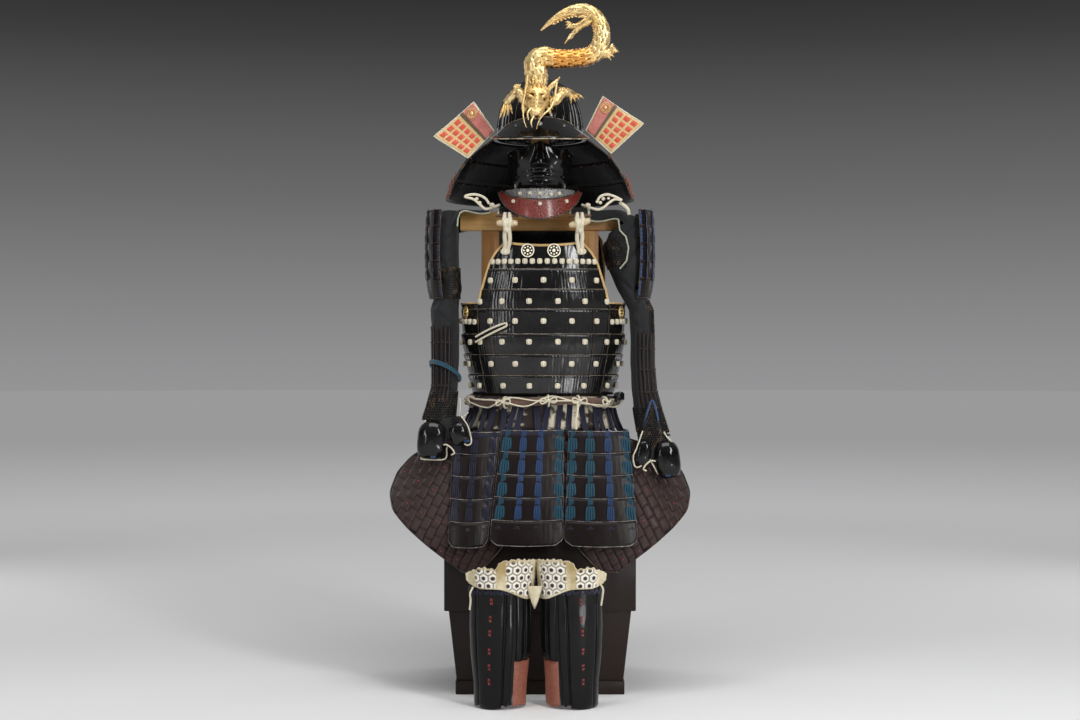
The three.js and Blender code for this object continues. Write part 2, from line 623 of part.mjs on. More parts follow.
// Sleeve rows: middle in X and Y, half width across X, half depth along Y, and tilt, the rise of
// the rim for each millimetre away from the body.
const sleeveRows = {
  L: [
    { z: 1112, x: 214, y: 0, a: 22, b: 54, tilt: 0 },
    { z: 1060, x: 224, y: 0, a: 31, b: 60, tilt: 0 },
    { z: 1000, x: 226, y: -4, a: 33, b: 56, tilt: 0 },
    { z: 930, x: 217, y: -10, a: 27, b: 52, tilt: 0 },
    { z: 878, x: 226, y: -22, a: 34, b: 54, tilt: 0 },
    { z: 830, x: 222, y: -38, a: 32, b: 50, tilt: 0 },
    { z: 760, x: 221, y: -62, a: 31, b: 44, tilt: 0 },
    { z: 700, x: 221, y: -86, a: 29, b: 38, tilt: 0 },
    { z: 655, x: 228, y: -106, a: 33, b: 36, tilt: 0 },
    { z: 622, x: 234, y: -120, a: 37, b: 34, tilt: 0 },
  ],
  R: [
    { z: 1087, x: 208, y: -6, a: 44, b: 54, tilt: 0.6 },
    { z: 1040, x: 202, y: -6, a: 52, b: 56, tilt: 0.3 },
    { z: 985, x: 208, y: -8, a: 50, b: 56, tilt: 0 },
    { z: 930, x: 212, y: -14, a: 30, b: 46, tilt: 0 },
    { z: 878, x: 238, y: -26, a: 28, b: 52, tilt: 0 },
    { z: 820, x: 240, y: -44, a: 27, b: 48, tilt: 0 },
    { z: 750, x: 239, y: -66, a: 27, b: 42, tilt: 0 },
    { z: 690, x: 242, y: -90, a: 28, b: 36, tilt: 0 },
    { z: 640, x: 250, y: -112, a: 32, b: 34, tilt: 0 },
    { z: 586, x: 262, y: -136, a: 36, b: 32, tilt: 0 },
  ],
};
const signs = { L: -1, R: 1 };

function sleevePoint(side, z, turn, proud) {
  const rows = sleeveRows[side];
  const row = rowAt(rows, z);
  const across = (row.a + proud) * Math.sin(turn);
  return vec(
    signs[side] * (row.x + across),
    row.y - (row.b + proud) * Math.cos(turn),
    z + row.tilt * across);
}

for (const side of ['L', 'R']) {
  const rows = sleeveRows[side];
  addPiece(`sleeve_${side}`, ringWall(16, rows.length - 1, (turn, v, w) => {
    const row = rows[Math.round((1 - v) * (rows.length - 1))];
    return sleevePoint(side, row.z, turn, CLOTH_WALL * (w - 1));
  }), 'cloth');

  // Splints over the outside of the forearm, on one plate.
  const foot = rows[rows.length - 2].z + 6;
  addPiece(`forearm_guard_${side}`, bentWall(6, 3, (u, v, w) => {
    const turn = mix(-0.5, 2.0, u);
    return sleevePoint(side, mix(foot, foot + 178, v), turn, 1 + 2.5 * w);
  }), 'lacquer');
}

// The hand and thumb plates are domed and hang past the cuff, turned out to the front.
const handPlates = [
  { name: 'hand_plate_L', x: -251, y: -164, z: 572, width: 74, height: 94, dome: 20, lean: -0.1 },
  { name: 'thumb_plate_L', x: -184, y: -184, z: 592, width: 46, height: 54, dome: 11, lean: 0.35 },
  { name: 'hand_plate_R', x: 290, y: -176, z: 532, width: 64, height: 90, dome: 20, lean: 0.12 },
  { name: 'thumb_plate_R', x: 235, y: -184, z: 548, width: 36, height: 62, dome: 10, lean: -0.2 },
];
for (const plate of handPlates) {
  const domed = new THREE.LatheGeometry([
    new THREE.Vector2(0, 1), new THREE.Vector2(0.35, 0.94), new THREE.Vector2(0.7, 0.7),
    new THREE.Vector2(0.92, 0.3), new THREE.Vector2(1, 0), new THREE.Vector2(0.94, 0),
    new THREE.Vector2(0.86, 0.18), new THREE.Vector2(0.65, 0.52), new THREE.Vector2(0.35, 0.75),
    new THREE.Vector2(0, 0.82),
  ], 14);
  addPiece(plate.name, reshape(domed, (p) => {
    const square = 1 + 0.12 * Math.sin(2 * Math.atan2(p.z, p.x)) ** 2;
    const [x, z] = [p.x * square * plate.width / 2, p.z * square * plate.height / 2];
    const [c, s] = [Math.cos(plate.lean), Math.sin(plate.lean)];
    return vec(plate.x + x * c - z * s, plate.y - p.y * plate.dome, plate.z + x * s + z * c);
  }), 'lacquer');
}

// Five lames hang over the outside of each upper arm.
const shoulderGuard = { z: 1112, length: 206, chord: 72, radius: 90, out: 270, lames: 5 };
for (const side of ['L', 'R']) {
  const { z: top, length, chord, radius, out, lames } = shoulderGuard;
  const steps = lameSteps(evenEdges(top, top - length, lames), 3);
  addPiece(`shoulder_guard_${side}`, bentWall(8, steps.length - 1, (u, v, w) => {
    const step = steps[Math.round(v * (steps.length - 1))];
    const y = mix(-chord, chord, u);
    const bend = radius - Math.sqrt(radius ** 2 - y ** 2);
    const sway = -7 * ((step.z - (top - length * 0.45)) / (length * 0.55)) ** 2;
    return vec(signs[side] * (out + sway - bend + step.proud + LAME_WALL * (w - 1)), y - 4, step.z);
  }), 'plates');
}

// ---- Shin guards -------------------------------------------------------------------------------

// Each wraps the front and both sides of a shin and is open behind.
const shinRows = [
  { z: 336, width: 148, depth: 128 },
  { z: 262, width: 132, depth: 112 },
  { z: 230, width: 131, depth: 110 },
  { z: 180, width: 134, depth: 114 },
  { z: 130, width: 130, depth: 112 },
  { z: 60, width: 116, depth: 104 },
  { z: 0, width: 112, depth: 106 },
];
const shins = [
  { side: 'L', sign: -1, x: -87 },
  { side: 'R', sign: 1, x: 70 },
];
const SHIN_Y = -312;
const SHIN_TURN = 2.0;           // half the angle that the guard covers
const LEATHER_TOP_Z = 104;

function shinPoint(shin, turn, z, proud) {
  const oval = { ...rowAt(shinRows, z), x: 0, y: SHIN_Y };
  const p = ovalPoint(oval, turn, z, proud);
  return vec(shin.x + shin.sign * p.x, p.y, z);
}

for (const shin of shins) {
  const leatherTurn = -0.5;      // the inner side, low down, is leather from here back
  addPiece(`shin_guard_${shin.side}`, unite(
    bentWall(12, 5, (u, v, w) =>
      shinPoint(shin, mix(leatherTurn, SHIN_TURN, u), mix(0, SHIN_TOP_Z, v), SHIN_WALL * (w - 1))),
    bentWall(8, 3, (u, v, w) => shinPoint(shin, mix(-SHIN_TURN, leatherTurn + 0.02, u),
      mix(LEATHER_TOP_Z, SHIN_TOP_Z, v), SHIN_WALL * (w - 1)))), 'lacquer');
  addPiece(`shin_leather_${shin.side}`, bentWall(6, 2, (u, v, w) =>
    shinPoint(shin, mix(-1.7, leatherTurn - 0.01, u), mix(6, LEATHER_TOP_Z - 0.5, v),
      CLOTH_WALL * (w - 1) - 0.5)), 'leather');
  addPiece(`knee_cloth_${shin.side}`, bentWall(14, 2, (u, v, w) => {
    const turn = mix(-1.75, 1.75, u);
    const scallop = 8 * Math.abs(Math.sin(turn * 2)) - 10 * (turn / 1.75) ** 2;
    const z = mix(SHIN_TOP_Z + 1, 326 + scallop, v);
    return shinPoint(shin, turn, z, 1 + 6 * (w - 0.5));
  }), 'paleCloth');
}

export default armour;
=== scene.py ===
# %% [markdown]
# # A samurai armour on its stand, above its chest
# The set is a helmet with a gilded dragon, a half mask, a laced cuirass with a skirt, thigh aprons,
# armoured sleeves and shin guards. It hangs on a wooden stand on the lid of the chest that it is
# packed in. Iron and rawhide are the hard skin, but cloth and cord carry the whole weight, so most of
# the cells below are about lames, cords and cloth.

# %% Load the frame
import math
import random

import bmesh
import bpy
import numpy as np
from mathutils import Matrix, Vector


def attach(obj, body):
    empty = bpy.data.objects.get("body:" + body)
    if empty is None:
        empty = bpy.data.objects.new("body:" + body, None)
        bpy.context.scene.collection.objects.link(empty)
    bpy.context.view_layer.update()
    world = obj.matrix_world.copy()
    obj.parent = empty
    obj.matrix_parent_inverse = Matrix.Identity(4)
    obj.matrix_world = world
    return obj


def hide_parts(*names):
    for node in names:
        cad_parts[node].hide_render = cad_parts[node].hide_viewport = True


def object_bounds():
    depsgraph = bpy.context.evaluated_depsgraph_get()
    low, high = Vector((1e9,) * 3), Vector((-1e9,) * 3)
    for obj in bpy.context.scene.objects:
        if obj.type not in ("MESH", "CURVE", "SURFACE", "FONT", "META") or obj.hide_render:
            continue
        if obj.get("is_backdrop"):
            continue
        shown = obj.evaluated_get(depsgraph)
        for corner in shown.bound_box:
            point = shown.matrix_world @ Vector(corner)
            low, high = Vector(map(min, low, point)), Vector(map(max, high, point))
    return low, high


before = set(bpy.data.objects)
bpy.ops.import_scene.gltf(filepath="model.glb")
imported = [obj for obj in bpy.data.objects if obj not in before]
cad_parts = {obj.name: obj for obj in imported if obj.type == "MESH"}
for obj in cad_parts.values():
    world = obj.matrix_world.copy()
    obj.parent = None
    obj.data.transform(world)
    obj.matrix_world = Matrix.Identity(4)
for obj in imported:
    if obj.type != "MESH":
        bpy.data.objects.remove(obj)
CAD_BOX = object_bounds()
print("CAD box in metres:", [round(side, 3) for side in CAD_BOX[1] - CAD_BOX[0]])

# %% [markdown]
# ## Camera
# The set is looked at level, from about the height of its waist. A long lens from four metres keeps
# the helmet and the shins at one scale. The camera comes first, because the cords are laid for it.

# %% Camera
CAMERA_PLACE = (0.0, -4.14, 0.76)
CAMERA_LENS = 58
camera_data = bpy.data.cameras.new("camera")
camera_data.lens = CAMERA_LENS
camera_data.sensor_width = 36
camera = bpy.data.objects.new("camera", camera_data)
camera.location = CAMERA_PLACE
camera.rotation_euler = (math.pi / 2, 0, 0)
bpy.context.scene.collection.objects.link(camera)
bpy.context.scene.camera = camera
bpy.context.scene.view_settings.view_transform = "Standard"
print("camera at", CAMERA_PLACE, "lens", CAMERA_LENS)

# %% [markdown]
# ## Writing materials as sums
# A material is a small calculation over the surface. One class stands for a value in it, and its
# operators add the Math nodes, so that `1 - mask` reads as it would on paper. Colours are mixed by a
# Mix node, because a Math node would turn them grey.

# %% The socket class
class Wire:
    """One value inside a material."""

    def __init__(self, finish, socket):
        self.finish = finish
        self.socket = socket

    def maths(self, operation, *values):
        feed = dict(enumerate(values))
        return self.finish.node("ShaderNodeMath", feed, operation=operation)

    def __add__(self, other):
        return self.maths("ADD", self, other)

    def __sub__(self, other):
        return self.maths("SUBTRACT", self, other)

    def __rsub__(self, other):
        return self.maths("SUBTRACT", other, self)

    def __mul__(self, other):
        return self.maths("MULTIPLY", self, other)

    def __truediv__(self, other):
        return self.maths("DIVIDE", self, other)

    def __rtruediv__(self, other):
        return self.maths("DIVIDE", other, self)

    def __pow__(self, other):
        return self.maths("POWER", self, other)

    __radd__ = __add__
    __rmul__ = __mul__

    def above(self, level, blur=0.05):
        """1 where the value is over the level, 0 where it is under, with a soft edge."""
        feed = {0: self, 1: level - blur, 2: level + blur, 3: 0.0, 4: 1.0}
        return self.finish.node("ShaderNodeMapRange", feed, interpolation_type="SMOOTHSTEP")

    def size(self):
        return self.maths("ABSOLUTE", self)


# %% The finish class
class Finish:
    """A material under construction."""

    def __init__(self, name):
        self.material = bpy.data.materials.new(name)
        self.material.use_nodes = True
        self.tree = self.material.node_tree
        self.shader = self.tree.nodes["Principled BSDF"]
        self.coords = self.node("ShaderNodeTexCoord", {}, output="Object")
        self.flat = self.node("ShaderNodeUVMap", {}, output="UV")

    def node(self, kind, feed, output=0, **settings):
        """Adds a node: its settings first, then the value or link of each socket in feed."""
        made = self.tree.nodes.new(kind)
        for key, value in settings.items():
            setattr(made, key, value)
        for key, value in feed.items():
            if isinstance(value, Wire):
                self.tree.links.new(value.socket, made.inputs[key])
            else:
                made.inputs[key].default_value = value
        return Wire(self, made.outputs[output])

    def noise(self, scale, detail=3, rough=0.55, stretch=None):
        """Cloudy values round 0.5. stretch scales the three directions before the noise is read."""
        place = self.coords
        if stretch:
            place = self.node("ShaderNodeMapping", {"Vector": place, "Scale": stretch})
        feed = {"Vector": place, "Scale": scale, "Detail": detail, "Roughness": rough}
        return self.node("ShaderNodeTexNoise", feed)

    def cells(self, scale):
        return self.node("ShaderNodeTexVoronoi", {"Vector": self.coords, "Scale": scale}, output="Distance")

    def part(self, at, axis):
        return self.node("ShaderNodeSeparateXYZ", {0: at}, output=axis)

    def attribute(self, name):
        return self.node("ShaderNodeAttribute", {}, output="Fac", attribute_name=name)

    def mix(self, factor, a, b):
        paint = [value if isinstance(value, Wire) else (*value, 1) for value in (a, b)]
        feed = {0: factor, 6: paint[0], 7: paint[1]}
        return self.node("ShaderNodeMix", feed, output=2, data_type="RGBA")

    def bump(self, height, strength, distance, under=None):
        feed = {"Height": height, "Strength": strength, "Distance": distance}
        if under:
            feed["Normal"] = under
        return self.node("ShaderNodeBump", feed)

    def done(self, **feed):
        """Feeds the surface shader. Underscores in the names stand for spaces."""
        for key, value in feed.items():
            socket = self.shader.inputs[key.replace("_", " ")]
            if isinstance(value, Wire):
                self.tree.links.new(value.socket, socket)
            elif isinstance(value, tuple):
                socket.default_value = (*value, 1)
            else:
                socket.default_value = value
        print("finish:", self.material.name, len(self.tree.nodes), "nodes")
        return self.material


def tint(red, green, blue):
    """A colour given by its everyday 0 to 255 values, as the shader wants it."""
    return tuple((channel / 255) ** 2.2 for channel in (red, green, blue))


# %% [markdown]
# ## Floor and light
# A pale floor is painted paler in front of the stand than behind it, a painted pool of light. Far away
# its colour grows darker and a painted glow of the studio's grey takes over, so that it meets the
# studio's grey without a hard line. Lacquer shows little of its own colour: what is seen on it is the
# shape of the lights, so they are soft boxes. Tall ones stand in front for the plates, one hangs
# overhead, and three stand behind for the outlines. A small one near the floor lights the shin guards.

# %% Floor
FLOOR_RADIUS = 40
floor_mesh = bmesh.new()
bmesh.ops.create_circle(floor_mesh, cap_ends=True, radius=FLOOR_RADIUS, segments=96)
floor_data = bpy.data.meshes.new("floor")
floor_mesh.to_mesh(floor_data)
floor_mesh.free()
floor = bpy.data.objects.new("floor", floor_data)
bpy.context.scene.collection.objects.link(floor)
floor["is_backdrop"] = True
paint = Finish("floor")
FLOOR_FRONT = (0.92, 0.92, 0.92)
FLOOR_NEAR = (0.77, 0.77, 0.77)
FLOOR_GLOW = (0.315, 0.315, 0.32)
floor_across = paint.part(paint.coords, 0)
floor_away = paint.part(paint.coords, 1)
floor_distance = (floor_across * floor_across + floor_away * floor_away) ** 0.5
# Painted light: in front the floor is painted paler than behind it, and far away a painted glow of the
# studio's grey replaces its lit colour.
floor_fade = floor_distance.above(7, 6.5)
floor_glow_share = floor_distance.above(2.8, 2.8)
floor_pale = paint.mix(floor_away.above(0.1, 0.7), FLOOR_FRONT, FLOOR_NEAR)
floor_data.materials.append(paint.done(
    Base_Color=paint.mix(floor_fade, floor_pale, (0.02, 0.02, 0.02)),
    Emission_Color=paint.mix(floor_glow_share, (0.0, 0.0, 0.0), FLOOR_GLOW), Emission_Strength=1.0,
    Roughness=0.9, Specular_IOR_Level=0.1))


# %% Studio
def softbox(name, place, size, power, target=(0, 0, 0.8)):
    """A rectangular lamp, width by height in metres, that faces a point."""
    lamp = bpy.data.lights.new(name, "AREA")
    lamp.shape = "RECTANGLE"
    lamp.size, lamp.size_y = size
    lamp.energy = power
    holder = bpy.data.objects.new(name, lamp)
    holder.location = place
    aim = Vector(target) - Vector(place)
    holder.rotation_euler = aim.to_track_quat("-Z", "Y").to_euler()
    bpy.context.scene.collection.objects.link(holder)
    return holder


softbox("key", (1.75, -2.75, 2.2), (0.5, 1.7), 54, (0, 0, 0.85))
softbox("fill", (-2.4, -2.6, 1.4), (0.35, 1.8), 18)
softbox("low", (0.85, -1.5, 0.10), (0.3, 0.16), 2.2, (0.1, -0.3, 0.15))
softbox("overhead", (0.0, -0.9, 3.2), (2.0, 1.2), 34, (0, 0, 0.7))
softbox("rim_left", (-2.3, 1.7, 1.6), (0.7, 2.0), 10)
softbox("rim_right", (2.3, 1.7, 1.6), (0.7, 2.0), 10)
softbox("back", (0.3, 3.2, 2.0), (2.0, 1.6), 6)

studio = bpy.data.worlds.new("studio")
bpy.context.scene.world = studio
studio.use_nodes = True
studio_nodes = studio.node_tree.nodes
sky_place = studio_nodes.new("ShaderNodeTexCoord")
sky_height = studio_nodes.new("ShaderNodeSeparateXYZ")
sky_ramp = studio_nodes.new("ShaderNodeValToRGB")
sky_lift = studio_nodes.new("ShaderNodeMapRange")
sky_lift.inputs[1].default_value = -1
studio.node_tree.links.new(sky_place.outputs["Generated"], sky_height.inputs[0])
studio.node_tree.links.new(sky_height.outputs[2], sky_lift.inputs[0])
studio.node_tree.links.new(sky_lift.outputs[0], sky_ramp.inputs[0])
studio.node_tree.links.new(sky_ramp.outputs[0], studio_nodes["Background"].inputs[0])
SKY = [(0.40, 0.50), (0.50, 0.28), (0.546, 0.144), (0.591, 0.045), (0.61, 0.021), (0.68, 0.08), (0.9, 0.30)]
while len(sky_ramp.color_ramp.elements) < len(SKY):
    sky_ramp.color_ramp.elements.new(0.5)
for element, (place, grey) in zip(sky_ramp.color_ramp.elements, SKY):
    element.position = place
    element.color = (grey, grey, grey * 1.02, 1)
print("lamps and sky are set")

# %% [markdown]
# ## Shapes shared by every piece
# Armour is sheet work. Nearly every piece is a flat grid that is bent round something: an oval, a
# limb or a path. So one helper adds a grid and moves its points, another tiles a small shape, such as
# a knot or a ring, over a surface, and a third turns the result into a piece that rides on a body.
# All of them work in millimetres, and the last one scales the result to metres.

# %% Numbers and places
MM = 0.001


def blend(a, b, t):
    return a + (b - a) * t


def smooth(t):
    t = min(max(t, 0.0), 1.0)
    return t * t * (3 - 2 * t)


def hill(x, middle, width):
    """A smooth bump of height 1."""
    return math.exp(-((x - middle) / width) ** 2)


def row_at(table, z):
    """Reads the columns of a table at any height. Its rows start with their height, top first."""
    i = 0
    while i < len(table) - 2 and z < table[i + 1][0]:
        i += 1
    upper, lower = table[i], table[i + 1]
    t = min(max((upper[0] - z) / (upper[0] - lower[0]), 0.0), 1.0)
    return [blend(a, b, t) for a, b in zip(upper[1:], lower[1:])]


def oval(x, y, half_width, half_depth, turn, z):
    """A point on an oval. A turn of 0 is its front, and it grows towards +X."""
    return Vector((x + half_width * math.sin(turn), y - half_depth * math.cos(turn), z))


def catmull(points, t):
    """A point at share t of a smooth curve through the points."""
    spans = len(points) - 1
    i = min(int(t * spans), spans - 1)
    s = t * spans - i
    b, c = points[i], points[i + 1]
    a = points[i - 1] if i else b * 2 - c
    d = points[i + 2] if i + 2 <= spans else c * 2 - b
    return 0.5 * (b * 2 + (c - a) * s + (a * 2 - b * 5 + c * 4 - d) * s ** 2
                  + (b * 3 - a - c * 3 + d) * s ** 3)


def smooth_path(points, steps):
    """Evenly spaced points on a smooth curve through the given ones."""
    knots = [Vector(p) for p in points]
    fine = [catmull(knots, i / (steps * 8)) for i in range(steps * 8 + 1)]
    reach = [0.0]
    for a, b in zip(fine, fine[1:]):
        reach.append(reach[-1] + (b - a).length)
    even = []
    k = 0
    for i in range(steps + 1):
        goal = reach[-1] * i / steps
        while k < len(reach) - 2 and reach[k + 1] < goal:
            k += 1
        span = max(reach[k + 1] - reach[k], 1e-9)
        even.append(fine[k].lerp(fine[k + 1], min((goal - reach[k]) / span, 1.0)))
    return even


def path_length(path):
    return sum((b - a).length for a, b in zip(path, path[1:]))


# %% Grids, tubes and ropes
def new_shape():
    """An empty bmesh with a UV map, whose UVs are in metres, and a relief value for each point."""
    bm = bmesh.new()
    bm.loops.layers.uv.new("UVMap")
    bm.verts.layers.float.new("relief")
    return bm


def add_grid(bm, cols, rows, place, size=(1.0, 1.0), relief=None):
    """Adds a sheet of cols by rows cells and bends it: place(u, v) gives each point in millimetres.
    size is the sheet's flat size in metres, for its UVs."""
    made = bmesh.ops.create_grid(bm, x_segments=cols, y_segments=rows, size=0.5, calc_uvs=True)
    verts = made["verts"]
    layer = bm.loops.layers.uv.active
    height = bm.verts.layers.float["relief"]
    faces = {face for vert in verts for face in vert.link_faces}
    for face in faces:
        for loop in face.loops:
            u, v = loop.vert.co.x + 0.5, loop.vert.co.y + 0.5
            loop[layer].uv = (u * size[0], v * size[1])
    for vert in verts:
        u, v = vert.co.x + 0.5, vert.co.y + 0.5
        if relief:
            vert[height] = relief(u, v)
        vert.co = place(u, v)
    return verts


def path_frames(path, hint=(0, -1, 0)):
    """For each point of a path, the two directions square to it. The first one starts near hint."""
    frames = []
    out = Vector(hint)
    for i, point in enumerate(path):
        along = (path[min(i + 1, len(path) - 1)] - path[max(i - 1, 0)]).normalized()
        out = out - along * out.dot(along)
        if out.length < 1e-6:
            out = along.orthogonal()
        out.normalize()
        frames.append((point, along.cross(out), out))
    return frames


def add_tube(bm, path, girth, sides=8, flat=1.0, hint=(0, -1, 0), relief=None):
    """Adds a closed tube along a path. girth is its radius, or gives it from the share of the way.
    flat presses it along the direction of hint."""
    frames = path_frames(path, hint)
    rows = len(path) - 1
    length = path_length(path) * MM
    radius = girth if callable(girth) else lambda t: girth

    def place(u, v):
        i = round(v * (rows + 2)) - 1
        end = i in (-1, rows + 1)
        i = min(max(i, 0), rows)
        share = i / rows
        point, across, out = frames[i]
        r = 0.0 if end else radius(share)
        turn = 2 * math.pi * u
        swell = 1.0 + (relief(u, share) if relief else 0.0)
        return point + (across * math.cos(turn) + out * math.sin(turn) * flat) * r * swell

    return add_grid(bm, sides, rows + 2, place, size=(1.0, length))


def seat(surface, a, b, proud=0.0, spin=0.0, size=1.0):
    """The matrix that puts a small shape on a surface: X runs across it, Z up it and -Y off it."""
    middle = surface(a, b, proud)
    out = (surface(a, b, proud + 1) - middle).normalized()
    up = surface(a, b + 0.5, proud) - surface(a, b - 0.5, proud)
    up = (up - out * up.dot(out)).normalized()
    across = up.cross(out)
    turned = Matrix((across, -out, up)).transposed().to_4x4()
    return (Matrix.Translation(middle) @ turned @ Matrix.Rotation(spin, 4, "Y")
            @ Matrix.Scale(size, 4))


def seat_on(point, part, a, b, proud=0.0, **kind):
    """The same, for a surface whose point function takes the part's side or name first."""
    return seat(lambda *spot: point(part, *spot), a, b, proud, **kind)


def ring_path(matrix, radius, off, count):
    """A circle of count points that lies off a seated place."""
    return [matrix @ Vector((radius * math.cos(a), off, radius * math.sin(a)))
            for a in np.linspace(0, 2 * math.pi, count)]


# %% From shapes to pieces
def settle(piece, body, slot, replaced=(), solid=0.0, edge=0.0):
    """Gives a piece its thickness and rounded edges, hangs it on its body, and hides the frame's parts that
    it replaces.
    """
    if solid:
        wall = piece.modifiers.new("wall", "SOLIDIFY")
        wall.thickness = solid * MM
        wall.offset = -1
        wall.use_even_offset = False
    if edge:
        round_off = piece.modifiers.new("edges", "BEVEL")
        round_off.width = edge * MM
        round_off.segments = 2
        round_off.limit_method = "ANGLE"
        round_off.angle_limit = math.radians(50)
    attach(piece, body)
    if replaced:
        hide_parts(*replaced)
    return piece


def finish_shape(bm, name, material, body, slot, replaced=(), closed=False, crease=40, **kind):
    """Turns a bmesh in millimetres into a piece. closed shapes have their faces turned outwards."""
    bmesh.ops.remove_doubles(bm, verts=bm.verts, dist=0.004)
    if closed:
        bmesh.ops.recalc_face_normals(bm, faces=bm.faces)
    sharp = math.radians(crease)
    for face in bm.faces:
        face.smooth = True
    for edge in bm.edges:
        if len(edge.link_faces) == 2 and edge.calc_face_angle(0.0) > sharp:
            edge.smooth = False
    bmesh.ops.scale(bm, vec=(MM, MM, MM), verts=bm.verts)
    mesh = bpy.data.meshes.new(name)
    bm.to_mesh(mesh)
    bm.free()
    mesh.materials.append(material)
    piece = bpy.data.objects.new(name, mesh)
    bpy.context.scene.collection.objects.link(piece)
    settle(piece, body, slot, replaced, **kind)
    print(f"{name}: {len(mesh.polygons)} faces")
    return piece


def tile_shape(bm, places, name, material, body, slot, replaced=(), seed=1, **kind):
    """Joins many copies of one small shape, one for each matrix. Each copy has its own shade value."""
    bmesh.ops.recalc_face_normals(bm, faces=bm.faces)
    one = bpy.data.meshes.new("one")
    bm.to_mesh(one)
    bm.free()
    count = len(places)
    points = np.empty(len(one.vertices) * 3)
    one.vertices.foreach_get("co", points)
    points = np.c_[points.reshape(-1, 3), np.ones(len(one.vertices))]
    corners = np.empty(len(one.loops), int)
    one.loops.foreach_get("vertex_index", corners)
    starts = np.empty(len(one.polygons), int)
    one.polygons.foreach_get("loop_start", starts)
    flat = np.empty(len(one.loops) * 2)
    one.uv_layers[0].data.foreach_get("uv", flat)
    turned = np.array([np.array(place) for place in places])
    moved = np.einsum("kij,nj->kni", turned, points)[:, :, :3] * MM
    shift = np.arange(count)[:, None]
    mesh = bpy.data.meshes.new(name)
    mesh.vertices.add(count * len(points))
    mesh.vertices.foreach_set("co", moved.ravel())
    mesh.loops.add(count * len(corners))
    mesh.loops.foreach_set("vertex_index", (corners + shift * len(points)).ravel())
    mesh.polygons.add(count * len(starts))
    mesh.polygons.foreach_set("loop_start", (starts + shift * len(corners)).ravel())
    mesh.update(calc_edges=True)
    mesh.polygons.foreach_set("use_smooth", np.ones(count * len(starts), bool))
    mesh.uv_layers.new(name="UVMap").data.foreach_set("uv", np.tile(flat, count))
    shades = np.random.default_rng(seed).random(count)
    layer = mesh.attributes.new("shade", "FLOAT", "POINT")
    layer.data.foreach_set("value", np.repeat(shades, len(points)))
    bpy.data.meshes.remove(one)
    mesh.materials.append(material)
    piece = bpy.data.objects.new(name, mesh)
    bpy.context.scene.collection.objects.link(piece)
    settle(piece, body, slot, replaced, **kind)
    print(f"{name}: {count} copies, {len(mesh.polygons)} faces")
    return piece


def add_ball(bm, matrix, segments=8, rings=6):
    bmesh.ops.create_uvsphere(bm, u_segments=segments, v_segments=rings, radius=1, matrix=matrix,
                              calc_uvs=True)


def sized(x, y, z, at=(0, 0, 0)):
    return Matrix.Translation(at) @ Matrix.Diagonal((x, y, z, 1))


# %% [markdown]
# ## Cord and cloth finishes
# A laced armour has hundreds of metres of flat silk braid and round cord. A braid is four or eight
# strands that cross in a herringbone, so its bump is two sets of slanted ridges on the cord's own UVs,
# and old silk has faded and dusty places, which come from slow noise on the object's coordinates.

# %% Braided cord
CROSSINGS_PER_METRE = 220
STRANDS_ROUND = 4


def braid(name, dark, light, dust=0.25):
    """Silk braid, with two sets of slanted ridges."""
    paint = Finish(name)
    round_it = paint.part(paint.flat, 0) * STRANDS_ROUND
    along = paint.part(paint.flat, 1) * CROSSINGS_PER_METRE
    wave_a = paint.node("ShaderNodeMath", {0: (along + round_it) * 6.283}, operation="SINE")
    wave_b = paint.node("ShaderNodeMath", {0: (along - round_it) * 6.283}, operation="SINE")
    weave = wave_a * wave_b * 0.5 + 0.5
    age = paint.noise(26, 4)
    fade = paint.noise(7, 2)
    ground = paint.mix(weave * 0.7 + age * 0.3, dark, light)
    grey = tuple(blend(a, 0.32, 0.5) for a in light)
    worn = paint.mix(fade.above(0.62, 0.12) * dust, ground, grey)
    return paint.done(
        Base_Color=worn,
        Roughness=0.75 + 0.15 * (age - 0.5),
        Normal=paint.bump(weave, 0.55, 0.0006),
        Sheen_Weight=0.35, Sheen_Roughness=0.4)


CREAM_CORD = braid("cream_cord", tint(176, 160, 124), tint(252, 246, 226), dust=0.05)
NAVY_CORD = braid("navy_cord", tint(6, 7, 20), tint(30, 32, 66), dust=0.2)
TEAL_CORD = braid("teal_cord", tint(3, 36, 52), tint(24, 92, 114), dust=0.15)
BLUE_CORD = braid("blue_cord", tint(9, 28, 60), tint(46, 86, 138), dust=0.2)
RED_CORD = braid("red_cord", tint(110, 18, 22), tint(206, 70, 66), dust=0.2)
RUST_CORD = braid("rust_cord", tint(64, 28, 14), tint(156, 84, 44), dust=0.15)

# %% [markdown]
# ## The free cords
# Two cords hang or lie free on the cuirass: a doubled cord on its left, and the belt's tail. They are
# laid on the same routes as in the frame. The smaller ties, mask cords and finger loops follow further
# on, with the pieces that they close.

# %% Free cords
def free_cord(name, points, diameter, material, slot, steps=40, replaced=()):
    """A loose round cord along a smooth curve through points in millimetres."""
    path = smooth_path(points, steps)
    bm = new_shape()
    add_tube(bm, path, diameter / 2, sides=10)
    piece = finish_shape(bm, name, material, "armour", slot, replaced, closed=True)
    length = path_length(path) * MM
    tuple(path[0] * MM)
    [tuple(p * MM) for p in path]
    print(f"{name}: {length * 1000:.0f} mm of cord, {diameter} mm thick")
    return piece


